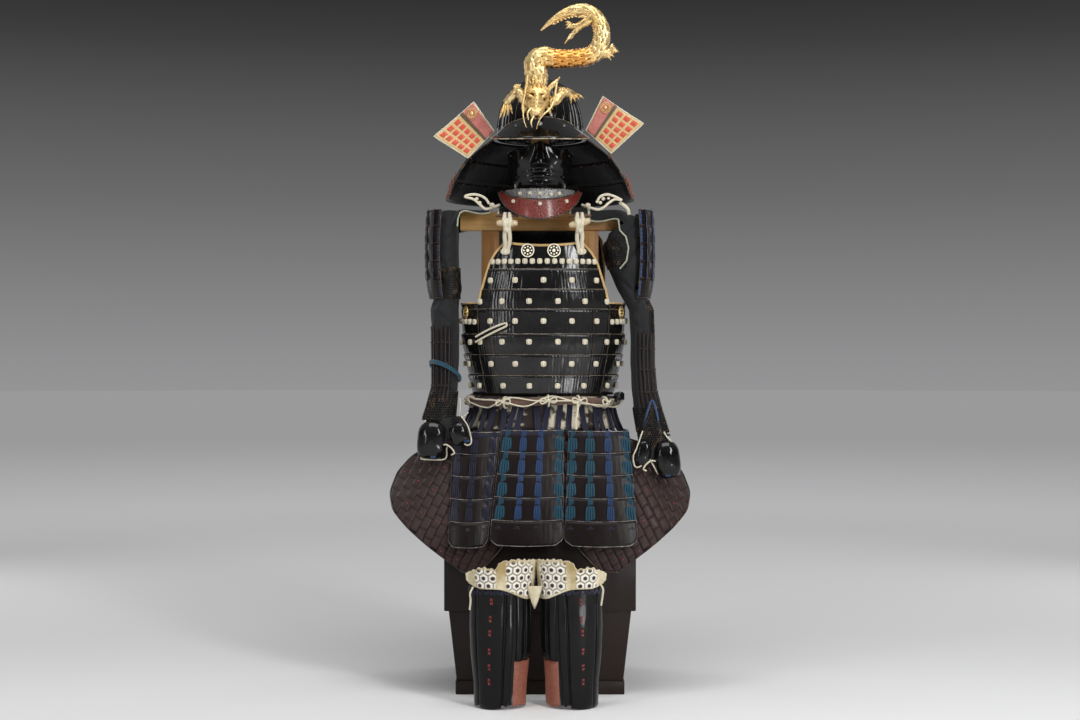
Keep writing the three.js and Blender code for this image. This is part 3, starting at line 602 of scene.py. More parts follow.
SIDE_LOOP = [
    (-150, -86, 802), (-128, -102, 814), (-104, -115, 826), (-82, -124, 836), (-76, -127, 841),
    (-80, -125, 845), (-104, -116, 837), (-128, -103, 826), (-150, -87, 814),
]
BELT_TAIL = [(86, -142, 662), (87, -147, 650), (85, -151, 634), (82, -154, 618), (83, -156, 604)]
free_cord("side_cord", SIDE_LOOP, 4.5, CREAM_CORD, "pale_cloth",
          replaced=["side_loop"])
tail_knot = new_shape()
add_ball(tail_knot, sized(3.6, 3.6, 4.6, BELT_TAIL[-1]), 10, 8)
tail_knot = finish_shape(tail_knot, "belt_tail_knot", CREAM_CORD, "armour", "pale_cloth")
free_cord("belt_tail_cord", BELT_TAIL, 5, CREAM_CORD, "pale_cloth",
          replaced=["belt_tail"])

# %% [markdown]
# ## Lacquer
# Urushi lacquer goes on in dozens of coats over iron or rawhide. It is near black, very smooth and
# slightly brown where it is thin. Age gives it a cloudy dullness, fine scratches, and brown or pale
# chips where it rubs. So each lacquer here has a base colour, cloudy roughness, a chip mask from
# broken noise, and a soft bump for the waviness of hand-laid coats.

# %% Lacquer
def lacquer(name, colour, worn, rough=0.2, chips=0.72, haze=0.25, wave=0.4, dust=0.12, coat=0.5,
            shine=0.5):
    """Old lacquer. shine is how strongly it mirrors, and haze how cloudy its mirror is."""
    paint = Finish(name)
    cloud = paint.noise(9, 4, 0.6)
    patch = paint.noise(3.2, 3, 0.5)
    grain = paint.noise(160, 4, 0.7)
    chip = (paint.noise(48, 5, 0.75) * 0.7 + grain * 0.3).above(chips, 0.02)
    scratch = paint.noise(30, 3, 0.6, stretch=(1, 1, 14)).above(0.66, 0.02)
    warm = tuple(channel * 1.9 + 0.004 for channel in colour)
    ground = paint.mix(cloud, colour, warm)
    dusty = paint.mix(patch.above(0.52, 0.2) * dust, ground, (0.16, 0.15, 0.14))
    surface = paint.mix(chip * 0.85, dusty, worn)
    rough_now = rough + haze * (cloud - 0.4) * patch + 0.3 * chip + 0.12 * scratch
    swell = paint.bump(paint.noise(30, 2, stretch=(1, 1, 0.3)), wave, 0.0018)
    return paint.done(
        Base_Color=surface, Roughness=rough_now,
        Normal=paint.bump(grain * 0.4 - chip, 0.25, 0.0005, swell),
        Specular_IOR_Level=shine, Coat_Weight=coat, Coat_Roughness=0.06)


BLACK_LACQUER = lacquer("black_lacquer", (0.0016, 0.0014, 0.0013), tint(60, 48, 38), 0.1, haze=0.08,
                        wave=0.3, dust=0.02, coat=0.1, shine=0.3)
NECK_LACQUER = lacquer("neck_lacquer", (0.0012, 0.001, 0.0009), tint(84, 52, 32), 0.26, 0.74, haze=0.12,
                       wave=0.9, dust=0.0, coat=0.02, shine=0.07)
PLATE_LACQUER = lacquer("plate_lacquer", (0.002, 0.0019, 0.0018), tint(104, 90, 72), 0.17, 0.76,
                        haze=0.16, wave=2.6, dust=0.02, coat=0.2, shine=0.42)
BROWN_LACQUER = lacquer("brown_lacquer", tint(27, 21, 21), tint(88, 62, 50), 0.34, 0.73, haze=0.2,
                        wave=1.2, dust=0.05, coat=0.03, shine=0.13)
RUSSET_LACQUER = lacquer("russet_lacquer", tint(48, 36, 35), tint(100, 60, 48), 0.46, 0.7, haze=0.2,
                         wave=0.6, dust=0.12, coat=0.02, shine=0.22)
SHIN_LACQUER = lacquer("shin_lacquer", (0.002, 0.0018, 0.0017), tint(84, 64, 52), 0.14, 0.75, haze=0.12,
                       wave=1.4, dust=0.02, coat=0.08, shine=0.15)
CREAM_LACQUER = lacquer("cream_lacquer", tint(224, 216, 194), tint(150, 116, 70), 0.34, 0.7, dust=0.04,
                        coat=0.1)
# A pale edge: worn rims on the visor, and a painted highlight along the cuirass's lame tops.
WORN_EDGE_AND_HIGHLIGHT = lacquer("worn_edge_and_highlight", tint(88, 78, 68), tint(178, 164, 138), 0.45, 0.5, dust=0.1, coat=0.0)
GREY_EDGE = lacquer("grey_edge", tint(86, 82, 80), tint(164, 160, 154), 0.4, 0.5, dust=0.1, coat=0.0)
DARK_EDGE = lacquer("dark_edge", tint(40, 32, 28), tint(122, 92, 62), 0.4, 0.55, dust=0.1, coat=0.0)

# %% [markdown]
# ## Gold, wood, ivory, iron
# The dragon is carved wood under gold leaf. Its colour follows the relief value that the carving cells
# write into the mesh: the pale gold on the heights is a painted highlight, and the brown in the cuts is
# painted shade. The stand is planed softwood, whose grain is noise stretched along the board.

# %% Gold leaf
paint = Finish("gold_leaf")
carving = paint.attribute("relief")
rub = paint.noise(60, 4, 0.7)
stretch_z = (1 - (paint.part(paint.coords, 2) - 1.45).size() * 30).above(0.3, 0.3)
reach = paint.part(paint.coords, 0)
stretch = stretch_z * reach.above(0.025, 0.02) * (1 - reach.above(0.115, 0.02))
# Painted shade: the brown for the cuts. Painted highlight: the pale gold for the heights.
deep = paint.mix(rub, tint(40, 18, 5), tint(128, 72, 14))
pale_gold_highlight = paint.mix(paint.noise(18, 3), tint(226, 172, 74), tint(255, 240, 190))
# The level stretch of the body is a deeper orange.
highlight_with_orange_stretch = paint.mix(stretch * 0.75, pale_gold_highlight, tint(226, 142, 44))
# Low relief takes the painted shade, and high relief takes the painted highlight.
height = (carving + rub * 0.5 - 0.2).above(0.48, 0.26)
GOLD = paint.done(
    Base_Color=paint.mix(height, deep, highlight_with_orange_stretch),
    Roughness=0.26 + 0.3 * rub,
    Metallic=0.55 + 0.3 * carving,
    Normal=paint.bump(paint.noise(220, 3, 0.7), 0.35, 0.0006))


# %% Wood
def wood(name, pale, dark):
    """Planed wood with its grain along Z, or along X for a cross piece."""
    paint = Finish(name)
    along = (0.06, 1, 1) if "cross" in name else (1, 1, 0.06)
    rings = paint.noise(60, 3, 0.5, stretch=along)
    fibre = paint.noise(380, 4, 0.7, stretch=along)
    stain = paint.noise(6, 4, 0.6)
    ground = paint.mix(rings.above(0.5, 0.16), pale, dark)
    stained = paint.mix(stain.above(0.56, 0.16) * 0.5, ground, tuple(c * 0.5 for c in dark))
    return paint.done(
        Base_Color=paint.mix(fibre * 0.35, stained, dark),
        Roughness=0.5 + 0.2 * (fibre - 0.4),
        Normal=paint.bump(fibre + rings * 0.5, 0.35, 0.0006))


STAND_WOOD = wood("stand_wood", tint(196, 152, 92), tint(148, 100, 48))
CROSS_WOOD = wood("stand_wood_cross", tint(200, 158, 96), tint(150, 104, 50))

# %% Chest lacquer
paint = Finish("chest_lacquer")
board = paint.noise(2.6, 3, 0.5)
streak = paint.noise(26, 4, 0.6, stretch=(1, 1, 0.12))
scuff = paint.noise(34, 5, 0.75).above(0.7, 0.03)
ground = paint.mix(board.above(0.48, 0.2), tint(24, 17, 15), tint(46, 35, 30))
streaked = paint.mix(streak * 0.4, ground, tint(28, 20, 17))
CHEST_LACQUER = paint.done(
    Base_Color=paint.mix(scuff * 0.45, streaked, tint(130, 108, 88)), Specular_IOR_Level=0.2,
    Roughness=0.38 + 0.25 * streak,
    Normal=paint.bump(streak + scuff, 0.3, 0.0008),
    Coat_Weight=0.06, Coat_Roughness=0.2)

# %% Iron, ivory and silver lacquer
paint = Finish("iron_mail")
rust = paint.noise(90, 4, 0.7)
IRON = paint.done(
    Base_Color=paint.mix(rust, tint(28, 26, 25), tint(92, 84, 76)),
    Roughness=0.38 + 0.3 * rust, Metallic=0.7,
    Normal=paint.bump(rust, 0.3, 0.0004))

paint = Finish("ivory")
grain = paint.noise(120, 4, 0.6, stretch=(0.15, 1, 1))
IVORY = paint.done(
    Base_Color=paint.mix(grain, tint(226, 212, 176), tint(160, 128, 84)),
    Roughness=0.32 + 0.2 * grain,
    Normal=paint.bump(grain, 0.15, 0.0004),
    Coat_Weight=0.2)

paint = Finish("silver_stipple")
dots = paint.cells(330)
cloud = paint.noise(30, 4)
STIPPLE = paint.done(
    Base_Color=paint.mix(cloud * 0.6 + dots * 0.7, tint(222, 220, 216), tint(70, 70, 72)),
    Roughness=0.35 + 0.3 * cloud, Metallic=0.45,
    Normal=paint.bump(1 - dots, 0.5, 0.0009))


# %% Leather
def leather(name, dark, light, pebble=260, rough=0.45, strength=0.5, gloss=0.12):
    """Grained leather: small rounded cells. Its colour follows their height: darker creases are painted
    shade, and lighter heights are partly rubbed wear and partly painted highlight.
    """
    paint = Finish(name)
    grain = paint.cells(pebble)
    rub = paint.noise(14, 4, 0.65)
    height = 1 - grain
    # Painted shade in the creases and painted highlight on the heights, with rubbed patches from the noise
    # over them.
    tone = paint.mix(height * 0.6 + rub * 0.5 - 0.1, dark, light)
    return paint.done(
        Base_Color=tone,
        Roughness=rough + 0.25 * (rub - 0.4) + 0.1 * grain,
        Normal=paint.bump(height, strength, 0.0014),
        Coat_Weight=gloss, Coat_Roughness=0.2)


RED_LEATHER = leather("red_leather", tint(62, 16, 12), tint(150, 60, 48), 210, 0.3, 1.0, 0.6)
SHIN_LEATHER = leather("shin_leather", tint(104, 56, 42), tint(184, 116, 94), 300, 0.45, 0.3)
WING_GROUND = leather("wing_ground", tint(178, 142, 84), tint(238, 212, 156), 420, 0.4, 0.25)
WING_RED = leather("wing_red", tint(176, 46, 30), tint(232, 110, 82), 420, 0.4, 0.25)
BROWN_LEATHER = leather("brown_leather", tint(48, 28, 18), tint(118, 80, 52), 300, 0.45, 0.4)
WING_PINK = leather("wing_pink", tint(176, 92, 84), tint(214, 140, 128), 300, 0.5, 0.25)
WING_BAND = leather("wing_band", tint(70, 58, 46), tint(124, 104, 80), 420, 0.5, 0.2)


# %% Woven cloth
def weave(name, dark, light, threads=900, fade=None, sheen=0.3, spots=(0.55, 0.15, 0.55)):
    """A plain weave from two sets of fine waves. spots is the level, blur and strength of its fading."""
    paint = Finish(name)
    across = paint.part(paint.flat, 0) * threads * 3.1416
    along = paint.part(paint.flat, 1) * threads * 3.1416
    warp = paint.node("ShaderNodeMath", {0: across}, operation="SINE").size()
    weft = paint.node("ShaderNodeMath", {0: along}, operation="SINE").size()
    cloth = warp * 0.5 + weft * 0.5
    age = paint.noise(11, 4, 0.6)
    slub = paint.noise(120, 3, 0.6)
    ground = paint.mix(cloth * 0.6 + slub * 0.4, dark, light)
    faded = paint.mix(age.above(spots[0], spots[1]) * spots[2], ground, fade or light)
    return paint.done(
        Base_Color=faded, Roughness=0.85 + 0.1 * (slub - 0.5),
        Normal=paint.bump(cloth + slub * 0.6, 0.5, 0.0006),
        Sheen_Weight=sheen, Sheen_Roughness=0.5)


SLEEVE_CLOTH = weave("sleeve_cloth", tint(5, 6, 8), tint(26, 28, 31), 700, fade=tint(38, 39, 40), sheen=0.06)
WAIST_CLOTH = weave("waist_cloth", tint(14, 11, 11), tint(54, 42, 37), 600,
                    fade=tint(226, 216, 190), sheen=0.1, spots=(0.54, 0.03, 0.9))
BELT_CLOTH = weave("belt_cloth", tint(40, 25, 21), tint(100, 72, 60), 700, fade=tint(132, 104, 84))
APRON_CLOTH = weave("apron_cloth", tint(6, 5, 5), tint(26, 20, 19), 700, sheen=0.05)
PALE_CLOTH = weave("pale_cloth", tint(170, 152, 112), tint(242, 234, 208), 700, fade=tint(200, 180, 140))
FLAP_BINDING = weave("flap_binding", tint(112, 118, 98), tint(188, 190, 166), 1400)
CREAM_BINDING = weave("cream_binding", tint(166, 152, 122), tint(240, 234, 214), 1400)

# %% [markdown]
# ## Chest and stand
# The chest is a lacquered box that narrows to its foot, under a deep lid. The stand's foot board lies
# on the lid, and two boards, a shoulder bar and a turned post rise from it. All of these have the
# right shape in the frame, apart from knife-sharp edges, so each is a copy of its node, with its
# doubles merged and its edges bevelled.

# %% Bevelled copies
def bevelled_copy(node, name, material, slot, width, body="armour"):
    bm = bmesh.new()
    bm.from_mesh(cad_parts[node].data)
    bmesh.ops.remove_doubles(bm, verts=bm.verts, dist=1e-5)
    bmesh.ops.dissolve_limit(bm, angle_limit=math.radians(1), verts=bm.verts, edges=bm.edges)
    sharp = [e for e in bm.edges if len(e.link_faces) == 2 and e.calc_face_angle(0) > 0.5]
    bmesh.ops.bevel(bm, geom=sharp, offset=width * MM, offset_type="OFFSET", affect="EDGES",
                    segments=2, profile=0.5, material=-1, clamp_overlap=True)
    for face in bm.faces:
        face.smooth = True
    for edge in bm.edges:
        edge.smooth = edge.calc_face_angle(0) < 0.6 if len(edge.link_faces) == 2 else True
    mesh = bpy.data.meshes.new(name)
    bm.to_mesh(mesh)
    bm.free()
    mesh.materials.append(material)
    piece = bpy.data.objects.new(name, mesh)
    bpy.context.scene.collection.objects.link(piece)
    settle(piece, body, slot, [node])
    print(f"{name}: {len(mesh.polygons)} faces")
    return piece


bevelled_copy("chest_body", "chest", CHEST_LACQUER, "chest_lacquer", 3)
bevelled_copy("chest_lid", "lid", CHEST_LACQUER, "chest_lacquer", 3)
bevelled_copy("stand_base", "foot_board", CROSS_WOOD, "stand_wood", 2.5)
bevelled_copy("stand_upright_L", "upright_L", STAND_WOOD, "stand_wood", 2)
bevelled_copy("stand_upright_R", "upright_R", STAND_WOOD, "stand_wood", 2)
bevelled_copy("stand_shoulder_bar", "shoulder_bar", CROSS_WOOD, "stand_wood", 3)


# %% Chest trim
BOX_EDGE = 1.5


def add_box(bm, low, high):
    """A bevelled box between two corners, in millimetres."""
    low, high = Vector(low), Vector(high)
    size = high - low
    made = bmesh.ops.create_cube(bm, size=1, calc_uvs=True,
                                 matrix=sized(*size, at=(low + high) / 2))
    edges = {edge for vert in made["verts"] for edge in vert.link_edges}
    bmesh.ops.bevel(bm, geom=list(edges), offset=BOX_EDGE, offset_type="OFFSET", affect="EDGES",
                    segments=2, profile=0.5, material=-1, clamp_overlap=True)


FOOT_WIDTH, FOOT_DEPTH = 372, 364
PLINTH_HEIGHT = 31
PLINTH_THICK = 4
bm = new_shape()
for side in (-1, 1):
    y = side * (FOOT_DEPTH / 2 + 2)
    add_box(bm, (-FOOT_WIDTH / 2 - 4, min(y, y + side * PLINTH_THICK), 0),
            (FOOT_WIDTH / 2 + 4, max(y, y + side * PLINTH_THICK), PLINTH_HEIGHT))
    x = side * (FOOT_WIDTH / 2 + 2)
    add_box(bm, (min(x, x + side * PLINTH_THICK), -FOOT_DEPTH / 2 - 4, 0),
            (max(x, x + side * PLINTH_THICK), FOOT_DEPTH / 2 + 4, PLINTH_HEIGHT))
finish_shape(bm, "chest_plinth", CHEST_LACQUER, "armour", "chest_lacquer", closed=True)

# %% Head post
POST_FOOT_Z = 1112.3
POST = [(24, POST_FOOT_Z), (22.5, 1130), (20, 1180), (20, 1250), (22, 1300), (40, 1318), (54, 1336),
        (58, 1352), (56.5, 1374), (49, 1394), (30, 1412), (14, 1418)]
bm = new_shape()
POST_SIDES = 40


def post_point(u, v):
    rows = len(POST) + 1
    i = round(v * rows)
    r, z = POST[min(max(i - 1, 0), len(POST) - 1)]
    r = 0 if i in (0, rows) else r
    z = 1420 if i == rows else z
    return oval(0, 0, r, r, 2 * math.pi * u, z)


add_grid(bm, POST_SIDES, len(POST) + 1, post_point, size=(0.2, 0.3))
finish_shape(bm, "head_post", STAND_WOOD, "armour", "stand_wood", ["stand_head_post"], closed=True)

# %% [markdown]
# ## Helmet bowl
# The bowl is riveted together from tapering plates. Each plate's standing edge is a rib that runs
# from the rim to the crown, and the light catches every one, so the ribs are modelled and not only
# painted. A plain cap closes the crown, where the ribs meet.

# %% Bowl
BOWL_RIM_Z, BOWL_HEIGHT, BOWL_HALF_WIDTH, BOWL_HALF_DEPTH = 1286, 138, 102, 120
BOWL_RIBS = 32
RIB_CELLS = 8


def bowl_point(turn, rise, proud=0.0):
    girth = max(math.cos(rise * math.pi / 2), 0) ** 0.8
    height = math.sin(rise * math.pi / 2) ** 0.9 * (BOWL_HEIGHT + proud * rise)
    return oval(0, 0, (BOWL_HALF_WIDTH + proud) * girth, (BOWL_HALF_DEPTH + proud) * girth, turn,
                BOWL_RIM_Z + height)


def rib_height(phase):
    """A narrow standing edge, then a plate that swells a little and slopes to the next rib."""
    edge = hill(phase, 0.0, 0.07) + hill(phase, 1.0, 0.07)
    return 2.6 * edge + 0.9 * math.sin(math.pi * phase)


def bowl_skin(u, v):
    turn = 2 * math.pi * u
    rise = v * 0.985
    fade = smooth((1 - rise) * 6) * smooth(v * 14 + 0.2)
    return bowl_point(turn, rise, rib_height(u * BOWL_RIBS % 1.0) * fade)


bm = new_shape()
add_grid(bm, BOWL_RIBS * RIB_CELLS, 22, bowl_skin, size=(0.66, 0.2))
finish_shape(bm, "bowl", BLACK_LACQUER, "helmet", "lacquer", ["helmet_bowl"], solid=2.5, crease=70)

bm = new_shape()
RIVET_ROWS = (0.10, 0.24, 0.38)
for rise in RIVET_ROWS:
    for k in range(BOWL_RIBS):
        turn = 2 * math.pi * (k + 0.5) / BOWL_RIBS
        add_ball(bm, sized(1.6, 1.6, 1.6, bowl_point(turn, rise, 0.9)), 6, 4)
add_ball(bm, sized(15, 17, 5, (0, 0, BOWL_RIM_Z + BOWL_HEIGHT - 1.5)), 24, 8)
rim = [bowl_point(2 * math.pi * k / 80, 0.0, 1.5) + Vector((0, 0, 1)) for k in range(81)]
add_tube(bm, rim, 2.6, 8)
finish_shape(bm, "bowl_rivets", BLACK_LACQUER, "helmet", "lacquer")

# %% [markdown]
# ## Visor
# The visor is a crescent of one plate that springs from the rim. A bead runs along its outer edge and
# another along its root. They are tubes that follow the same formula as the plate.

# %% Visor
VISOR_HALF_TURN, VISOR_REACH, VISOR_DROP, VISOR_RISE, VISOR_TUCK = 1.15, 50, 42, 40, 2.2


def visor_point(u, v, proud=0.0):
    """u goes across from left to right. v is 0 at the outer edge and 1 at the bowl."""
    turn = blend(-VISOR_HALF_TURN, VISOR_HALF_TURN, u)
    fullness = max(math.cos(turn / VISOR_HALF_TURN * math.pi / 2), 0) ** 0.7
    out = 1 - v
    off = 14 * out + VISOR_REACH * out * fullness - VISOR_TUCK * v * fullness
    z = BOWL_RIM_Z - 4 + VISOR_RISE * v * fullness - VISOR_DROP * out ** 1.4 * fullness * 0.5
    return oval(0, 0, BOWL_HALF_WIDTH + 4 + off, BOWL_HALF_DEPTH + 4 + off, turn, z + proud)


bm = new_shape()
add_grid(bm, 64, 12, lambda u, v: visor_point(u, v, 3), size=(0.3, 0.06))
finish_shape(bm, "visor", BLACK_LACQUER, "helmet", "lacquer", ["helmet_visor"], solid=2.5)
bm = new_shape()
for v, lift, girth in ((0.0, 2, 1.5), (0.9, 4, 0.8)):
    add_tube(bm, [visor_point(k / 60, v, lift) for k in range(61)], girth, 6)
finish_shape(bm, "visor_beads", WORN_EDGE_AND_HIGHLIGHT, "helmet", "lacquer", closed=True)
bm = new_shape()
for k in (-1, 0, 1):
    spot = visor_point(0.5 + 0.19 * k, 0.55, 4)
    add_ball(bm, sized(6, 6, 6, spot) if k == 0 else sized(3.5, 3, 3, spot), 12, 8)
finish_shape(bm, "visor_studs", STIPPLE, "helmet", "silver_lame")

# %% [markdown]
# ## Neck guard
# Each lame of the neck guard overlaps the one above from outside and is laced to it. A lame is a row
# of scales under one lacquer skin: its upper edge shows their rounded heads, and faint upright ribs
# mark where they overlap. The same helper makes the lames of the cuirass, skirt and shoulder guards.

# %% Lames
SCALE_WIDTH = 11.0


CELLS_PER_SCALE = 5


def add_lame(bm, scales, rows, spot, size, rib=0.7, head=1.7, lean=3.0):
    """A laced lame. spot(u, v, proud, lift) gives a place on it; u goes along it and v up it."""

    def place(u, v):
        phase = u * scales % 1.0
        arch = math.sin(math.pi * phase) ** 0.6
        return spot(u, v, rib * arch + lean * v ** 1.5, head * arch * smooth(v * 6 - 5))

    return add_grid(bm, scales * CELLS_PER_SCALE, rows, place, size=size)


# %% Neck guard
NECK = [(1284, 218, 250, 0), (1262, 286, 300, 6), (1236, 350, 344, 12), (1207, 392, 376, 18),
        (1179, 420, 398, 22), (1141, 448, 412, 26)]
NECK_LAMES = [(1284, 1239, 1.2), (1241, 1192, 1.25), (1194, 1142, 1.28)]


def neck_point(turn, z, proud=0.0):
    width, depth, y = row_at(NECK, z)
    return oval(0, y, width / 2 + proud, depth / 2 + proud, turn, z)


neck_knots = []
neck_rims = new_shape()
for i, (top, bottom, half_gap) in enumerate(NECK_LAMES):
    def neck_spot(u, v, proud, lift):
        turn = blend(half_gap, 2 * math.pi - half_gap, u)
        return neck_point(turn, blend(bottom, top, v) + lift, proud)

    girth = 2 * math.pi * (200 - 20 * (2 - i)) * (1 - half_gap / math.pi)
    scales = round(girth / SCALE_WIDTH)
    bm = new_shape()
    add_lame(bm, scales, 8, neck_spot, (girth * MM, (top - bottom) * MM), rib=0.25, head=0.8, lean=2.5)
    finish_shape(bm, f"neck_lame_{i + 1}", NECK_LACQUER, "helmet", "lacquer",
                 [f"neck_guard_{i + 1}"], solid=2, crease=70)
    pairs = round(girth / 42)
    for k in range(pairs + 1):
        turn = blend(half_gap + 0.06, 2 * math.pi - half_gap - 0.06, k / pairs)
        if i < 2:
            neck_knots.append(seat(neck_point, turn, bottom + 3, 3.5))
    rim = [neck_point(blend(half_gap, 2 * math.pi - half_gap, k / 90), bottom, 0.8)
           for k in range(91)]
    add_tube(neck_rims, rim, 1.1, 6)
    for end in (half_gap, 2 * math.pi - half_gap):
        add_tube(neck_rims, [neck_point(end, blend(bottom, top, k / 12), 1) for k in range(13)], 1.6, 6)
finish_shape(neck_rims, "neck_rims", DARK_EDGE, "helmet", "lacquer", closed=True)

# %% Lacing and cross knots
LACE_BULGE = 2.2


def lace_shape(width, height, strands, pinch=0.75):
    """A few flat braids side by side, pinched where they dive behind a lame."""
    bm = new_shape()
    each = width / strands
    for k in range(strands):
        middle = (k - (strands - 1) / 2) * each

        def place(u, v):
            reach = math.sin(math.pi * v) ** 0.5
            slim = blend(pinch, 1.0, reach)
            x = (middle + each * 0.8 * (u - 0.5)) * slim
            y = -LACE_BULGE * reach * (0.35 + 0.65 * math.sin(math.pi * u) ** 0.7) + 0.8
            return Vector((x, y, (v - 0.5) * height))

        add_grid(bm, 4, 7, place, size=(1.0, height * MM))
    return bm


def knot_shape(width, height, deep=3.2):
    """A square pillow of cord on a plate, with a groove between its two turns."""
    bm = new_shape()
    add_ball(bm, Matrix(), 12, 8)
    for vert in bm.verts:
        x, y, z = (math.copysign(abs(c) ** 0.62, c) for c in vert.co)
        groove = 1 - 0.3 * hill(x, 0, 0.2)
        vert.co = (x * width / 2, y * deep * groove, z * height / 2)
    return bm


def cross_shape(size):
    """A cross knot: two flat cords that cross."""
    bm = new_shape()
    for lean in (-1, 1):
        path = [Vector((lean * (t - 0.5) * size, -1.4 * math.sin(math.pi * t) - 0.3 * lean,
                        (t - 0.5) * size)) for t in (0, 0.25, 0.5, 0.75, 1)]
        add_tube(bm, path, size * 0.16, 6, flat=0.6)
    return bm


tile_shape(lace_shape(11, 17, 2), neck_knots, "neck_lacing", RUST_CORD, "helmet", "belt_cloth")
crosses = []
for z in (1148, 1160, 1172, 1184):
    for k in range(72):
        turn = blend(1.31, 2 * math.pi - 1.31, k / 71)
        if z < 1165 or k < 9 or k > 62:
            crosses.append(seat(neck_point, turn, z, 1.5 if z < 1165 else 3.5))
tile_shape(cross_shape(12), crosses, "neck_cross_knots", RUST_CORD, "helmet", "belt_cloth")

# %% [markdown]
# ## Wings
# The ends of the first lame turn back beside the visor and are faced with gilded leather: a ground
# with rows of red squares, a pink strip along the inner and upper edge with a boss on it, and a rim.
# The boss is a plain ring and button. The squares are small pillows on the ground.

# %% Wings
WINGS = {
    "L": {"top": (-155, 1363), "outer": (-248, 1283), "bottom": (-169, 1234), "inner": (-108, 1297)},
    "R": {"top": (147, 1376), "outer": (242, 1313), "bottom": (167, 1245), "inner": (108, 1299)},
}
WING_Y = -58


def wing_point(side, u, v, proud=0.0):
    """u runs outwards and v upwards from the visor. proud stands off the front face."""
    wing = WINGS[side]
    x, z = (blend(blend(wing["inner"][k], wing["bottom"][k], u),
                  blend(wing["top"][k], wing["outer"][k], u), v) for k in (0, 1))
    bow = 8 * math.sin(math.pi * u) * v - 10 * v
    return Vector((x, WING_Y + bow - 4 - proud, z))


SQUARE_COLS, SQUARE_ROWS = 3, 5
STRIP_SHARE = 0.34
for side in ("L", "R"):
    flip = side == "L"

    def wing_spot(u, v, proud=0.0):
        return wing_point(side, u, v, proud)

    def facing(low_u, high_u, proud):
        bm = new_shape()
        add_grid(bm, 16, 16, lambda u, v: wing_spot(
            blend(high_u, low_u, u) if flip else blend(low_u, high_u, u), v, proud),
            size=(0.1, 0.1))
        return bm

    finish_shape(facing(0, 1, 0), f"wing_ground_{side}", WING_GROUND, "helmet", "wing_facing",
                 [f"wing_{side}"], solid=3.5)
    finish_shape(facing(0.03, STRIP_SHARE - 0.05, 0.9), f"wing_strip_{side}", WING_PINK, "helmet",
                 "wing_facing", solid=0.8)
    finish_shape(facing(STRIP_SHARE - 0.05, STRIP_SHARE + 0.02, 1.3), f"wing_band_{side}", WING_BAND,
                 "helmet", "wing_facing", solid=1.2)
    squares = new_shape()
    for row in range(SQUARE_ROWS):
        for col in range(SQUARE_COLS):
            u0 = blend(STRIP_SHARE + 0.06, 0.95, (col + 0.14) / SQUARE_COLS)
            u1 = blend(STRIP_SHARE + 0.06, 0.95, (col + 0.86) / SQUARE_COLS)
            v0 = blend(0.06, 0.96, (row + 0.14) / SQUARE_ROWS)
            v1 = blend(0.06, 0.96, (row + 0.86) / SQUARE_ROWS)

            def pillow(u, v):
                round_off = (1 - (2 * u - 1) ** 4) * (1 - (2 * v - 1) ** 4)
                s = blend(u1, u0, u) if flip else blend(u0, u1, u)
                return wing_spot(s, blend(v0, v1, v), 0.2 + 1.5 * round_off)

            add_grid(squares, 6, 6, pillow, size=(0.013, 0.013))
    finish_shape(squares, f"wing_squares_{side}", WING_RED, "helmet", "wing_facing")
    bm = new_shape()
    edge = ([(t, 0) for t in np.linspace(0, 1, 14)] + [(1, t) for t in np.linspace(0, 1, 14)][1:]
            + [(1 - t, 1) for t in np.linspace(0, 1, 14)][1:]
            + [(0, 1 - t) for t in np.linspace(0, 1, 14)][1:])
    add_tube(bm, [wing_spot(u, v, -1) for u, v in edge], 1.7, 8)
    finish_shape(bm, f"wing_rim_{side}", CREAM_BINDING, "helmet", "gilt", closed=True)
    bm = new_shape()
    seat_boss = seat(wing_spot, STRIP_SHARE / 2 - 0.01, 0.80, 0.8)
    for radius in (8.5, 12):
        add_tube(bm, ring_path(seat_boss, radius, -1.5, 33), 1.3, 6)
    add_ball(bm, seat_boss @ sized(4.5, 3.0, 4.5), 14, 8)
    for vert in bm.verts:
        vert[bm.verts.layers.float["relief"]] = 0.9
    finish_shape(bm, f"wing_boss_{side}", GOLD, "helmet", "gilt")

# %% [markdown]
# ## The dragon's body
# The crest is carved: a scaled body that rises from the brow, turns right and curls back on itself
# into a tail. A tube follows the spine, and a function of the place along and round it gives the
# height of overlapping scales. The same height is kept as the relief value that paints shade into
# the cuts and a highlight onto the heights.

# %% Scales
CREST_Y = -166
SPINE = [(-2, 1384), (-6, 1412), (-10, 1436), (6, 1450), (34, 1447), (62, 1447), (92, 1449),
         (118, 1455), (135, 1472), (143, 1500), (138, 1528), (121, 1550), (100, 1560), (78, 1559),
         (52, 1550), (26, 1534), (2, 1513)]
SPINE_GIRTH = [19, 23, 23, 21, 19, 18, 18, 18, 18, 17, 16, 15, 13, 11, 8, 5, 1.5]
SCALE_LONG = 15.0
SCALES_ROUND = 8


def girth_at(radii, t):
    place = min(max(t, 0), 1) * (len(radii) - 1)
    i = min(int(place), len(radii) - 2)
    return blend(radii[i], radii[i + 1], place - i)


def scale_height(along, around):
    """Overlapping round-tipped scales. along is in scale lengths and around in scale widths."""
    best = 0.0
    row = math.floor(along)
    for k in (row - 1, row):
        down = along - k
        shift = 0.5 * (k % 2)
        across = (around + shift) % 1.0 - 0.5
        tip = 1.75 - 1.1 * (2 * across) ** 2
        if down < tip:
            best = max(best, 0.35 + 0.65 * down / 1.75 - 0.5 * across ** 2 * 2)
    return best


spine = smooth_path([(x, CREST_Y, z) for x, z in SPINE], 230)
spine_length = path_length(spine)
bm = new_shape()


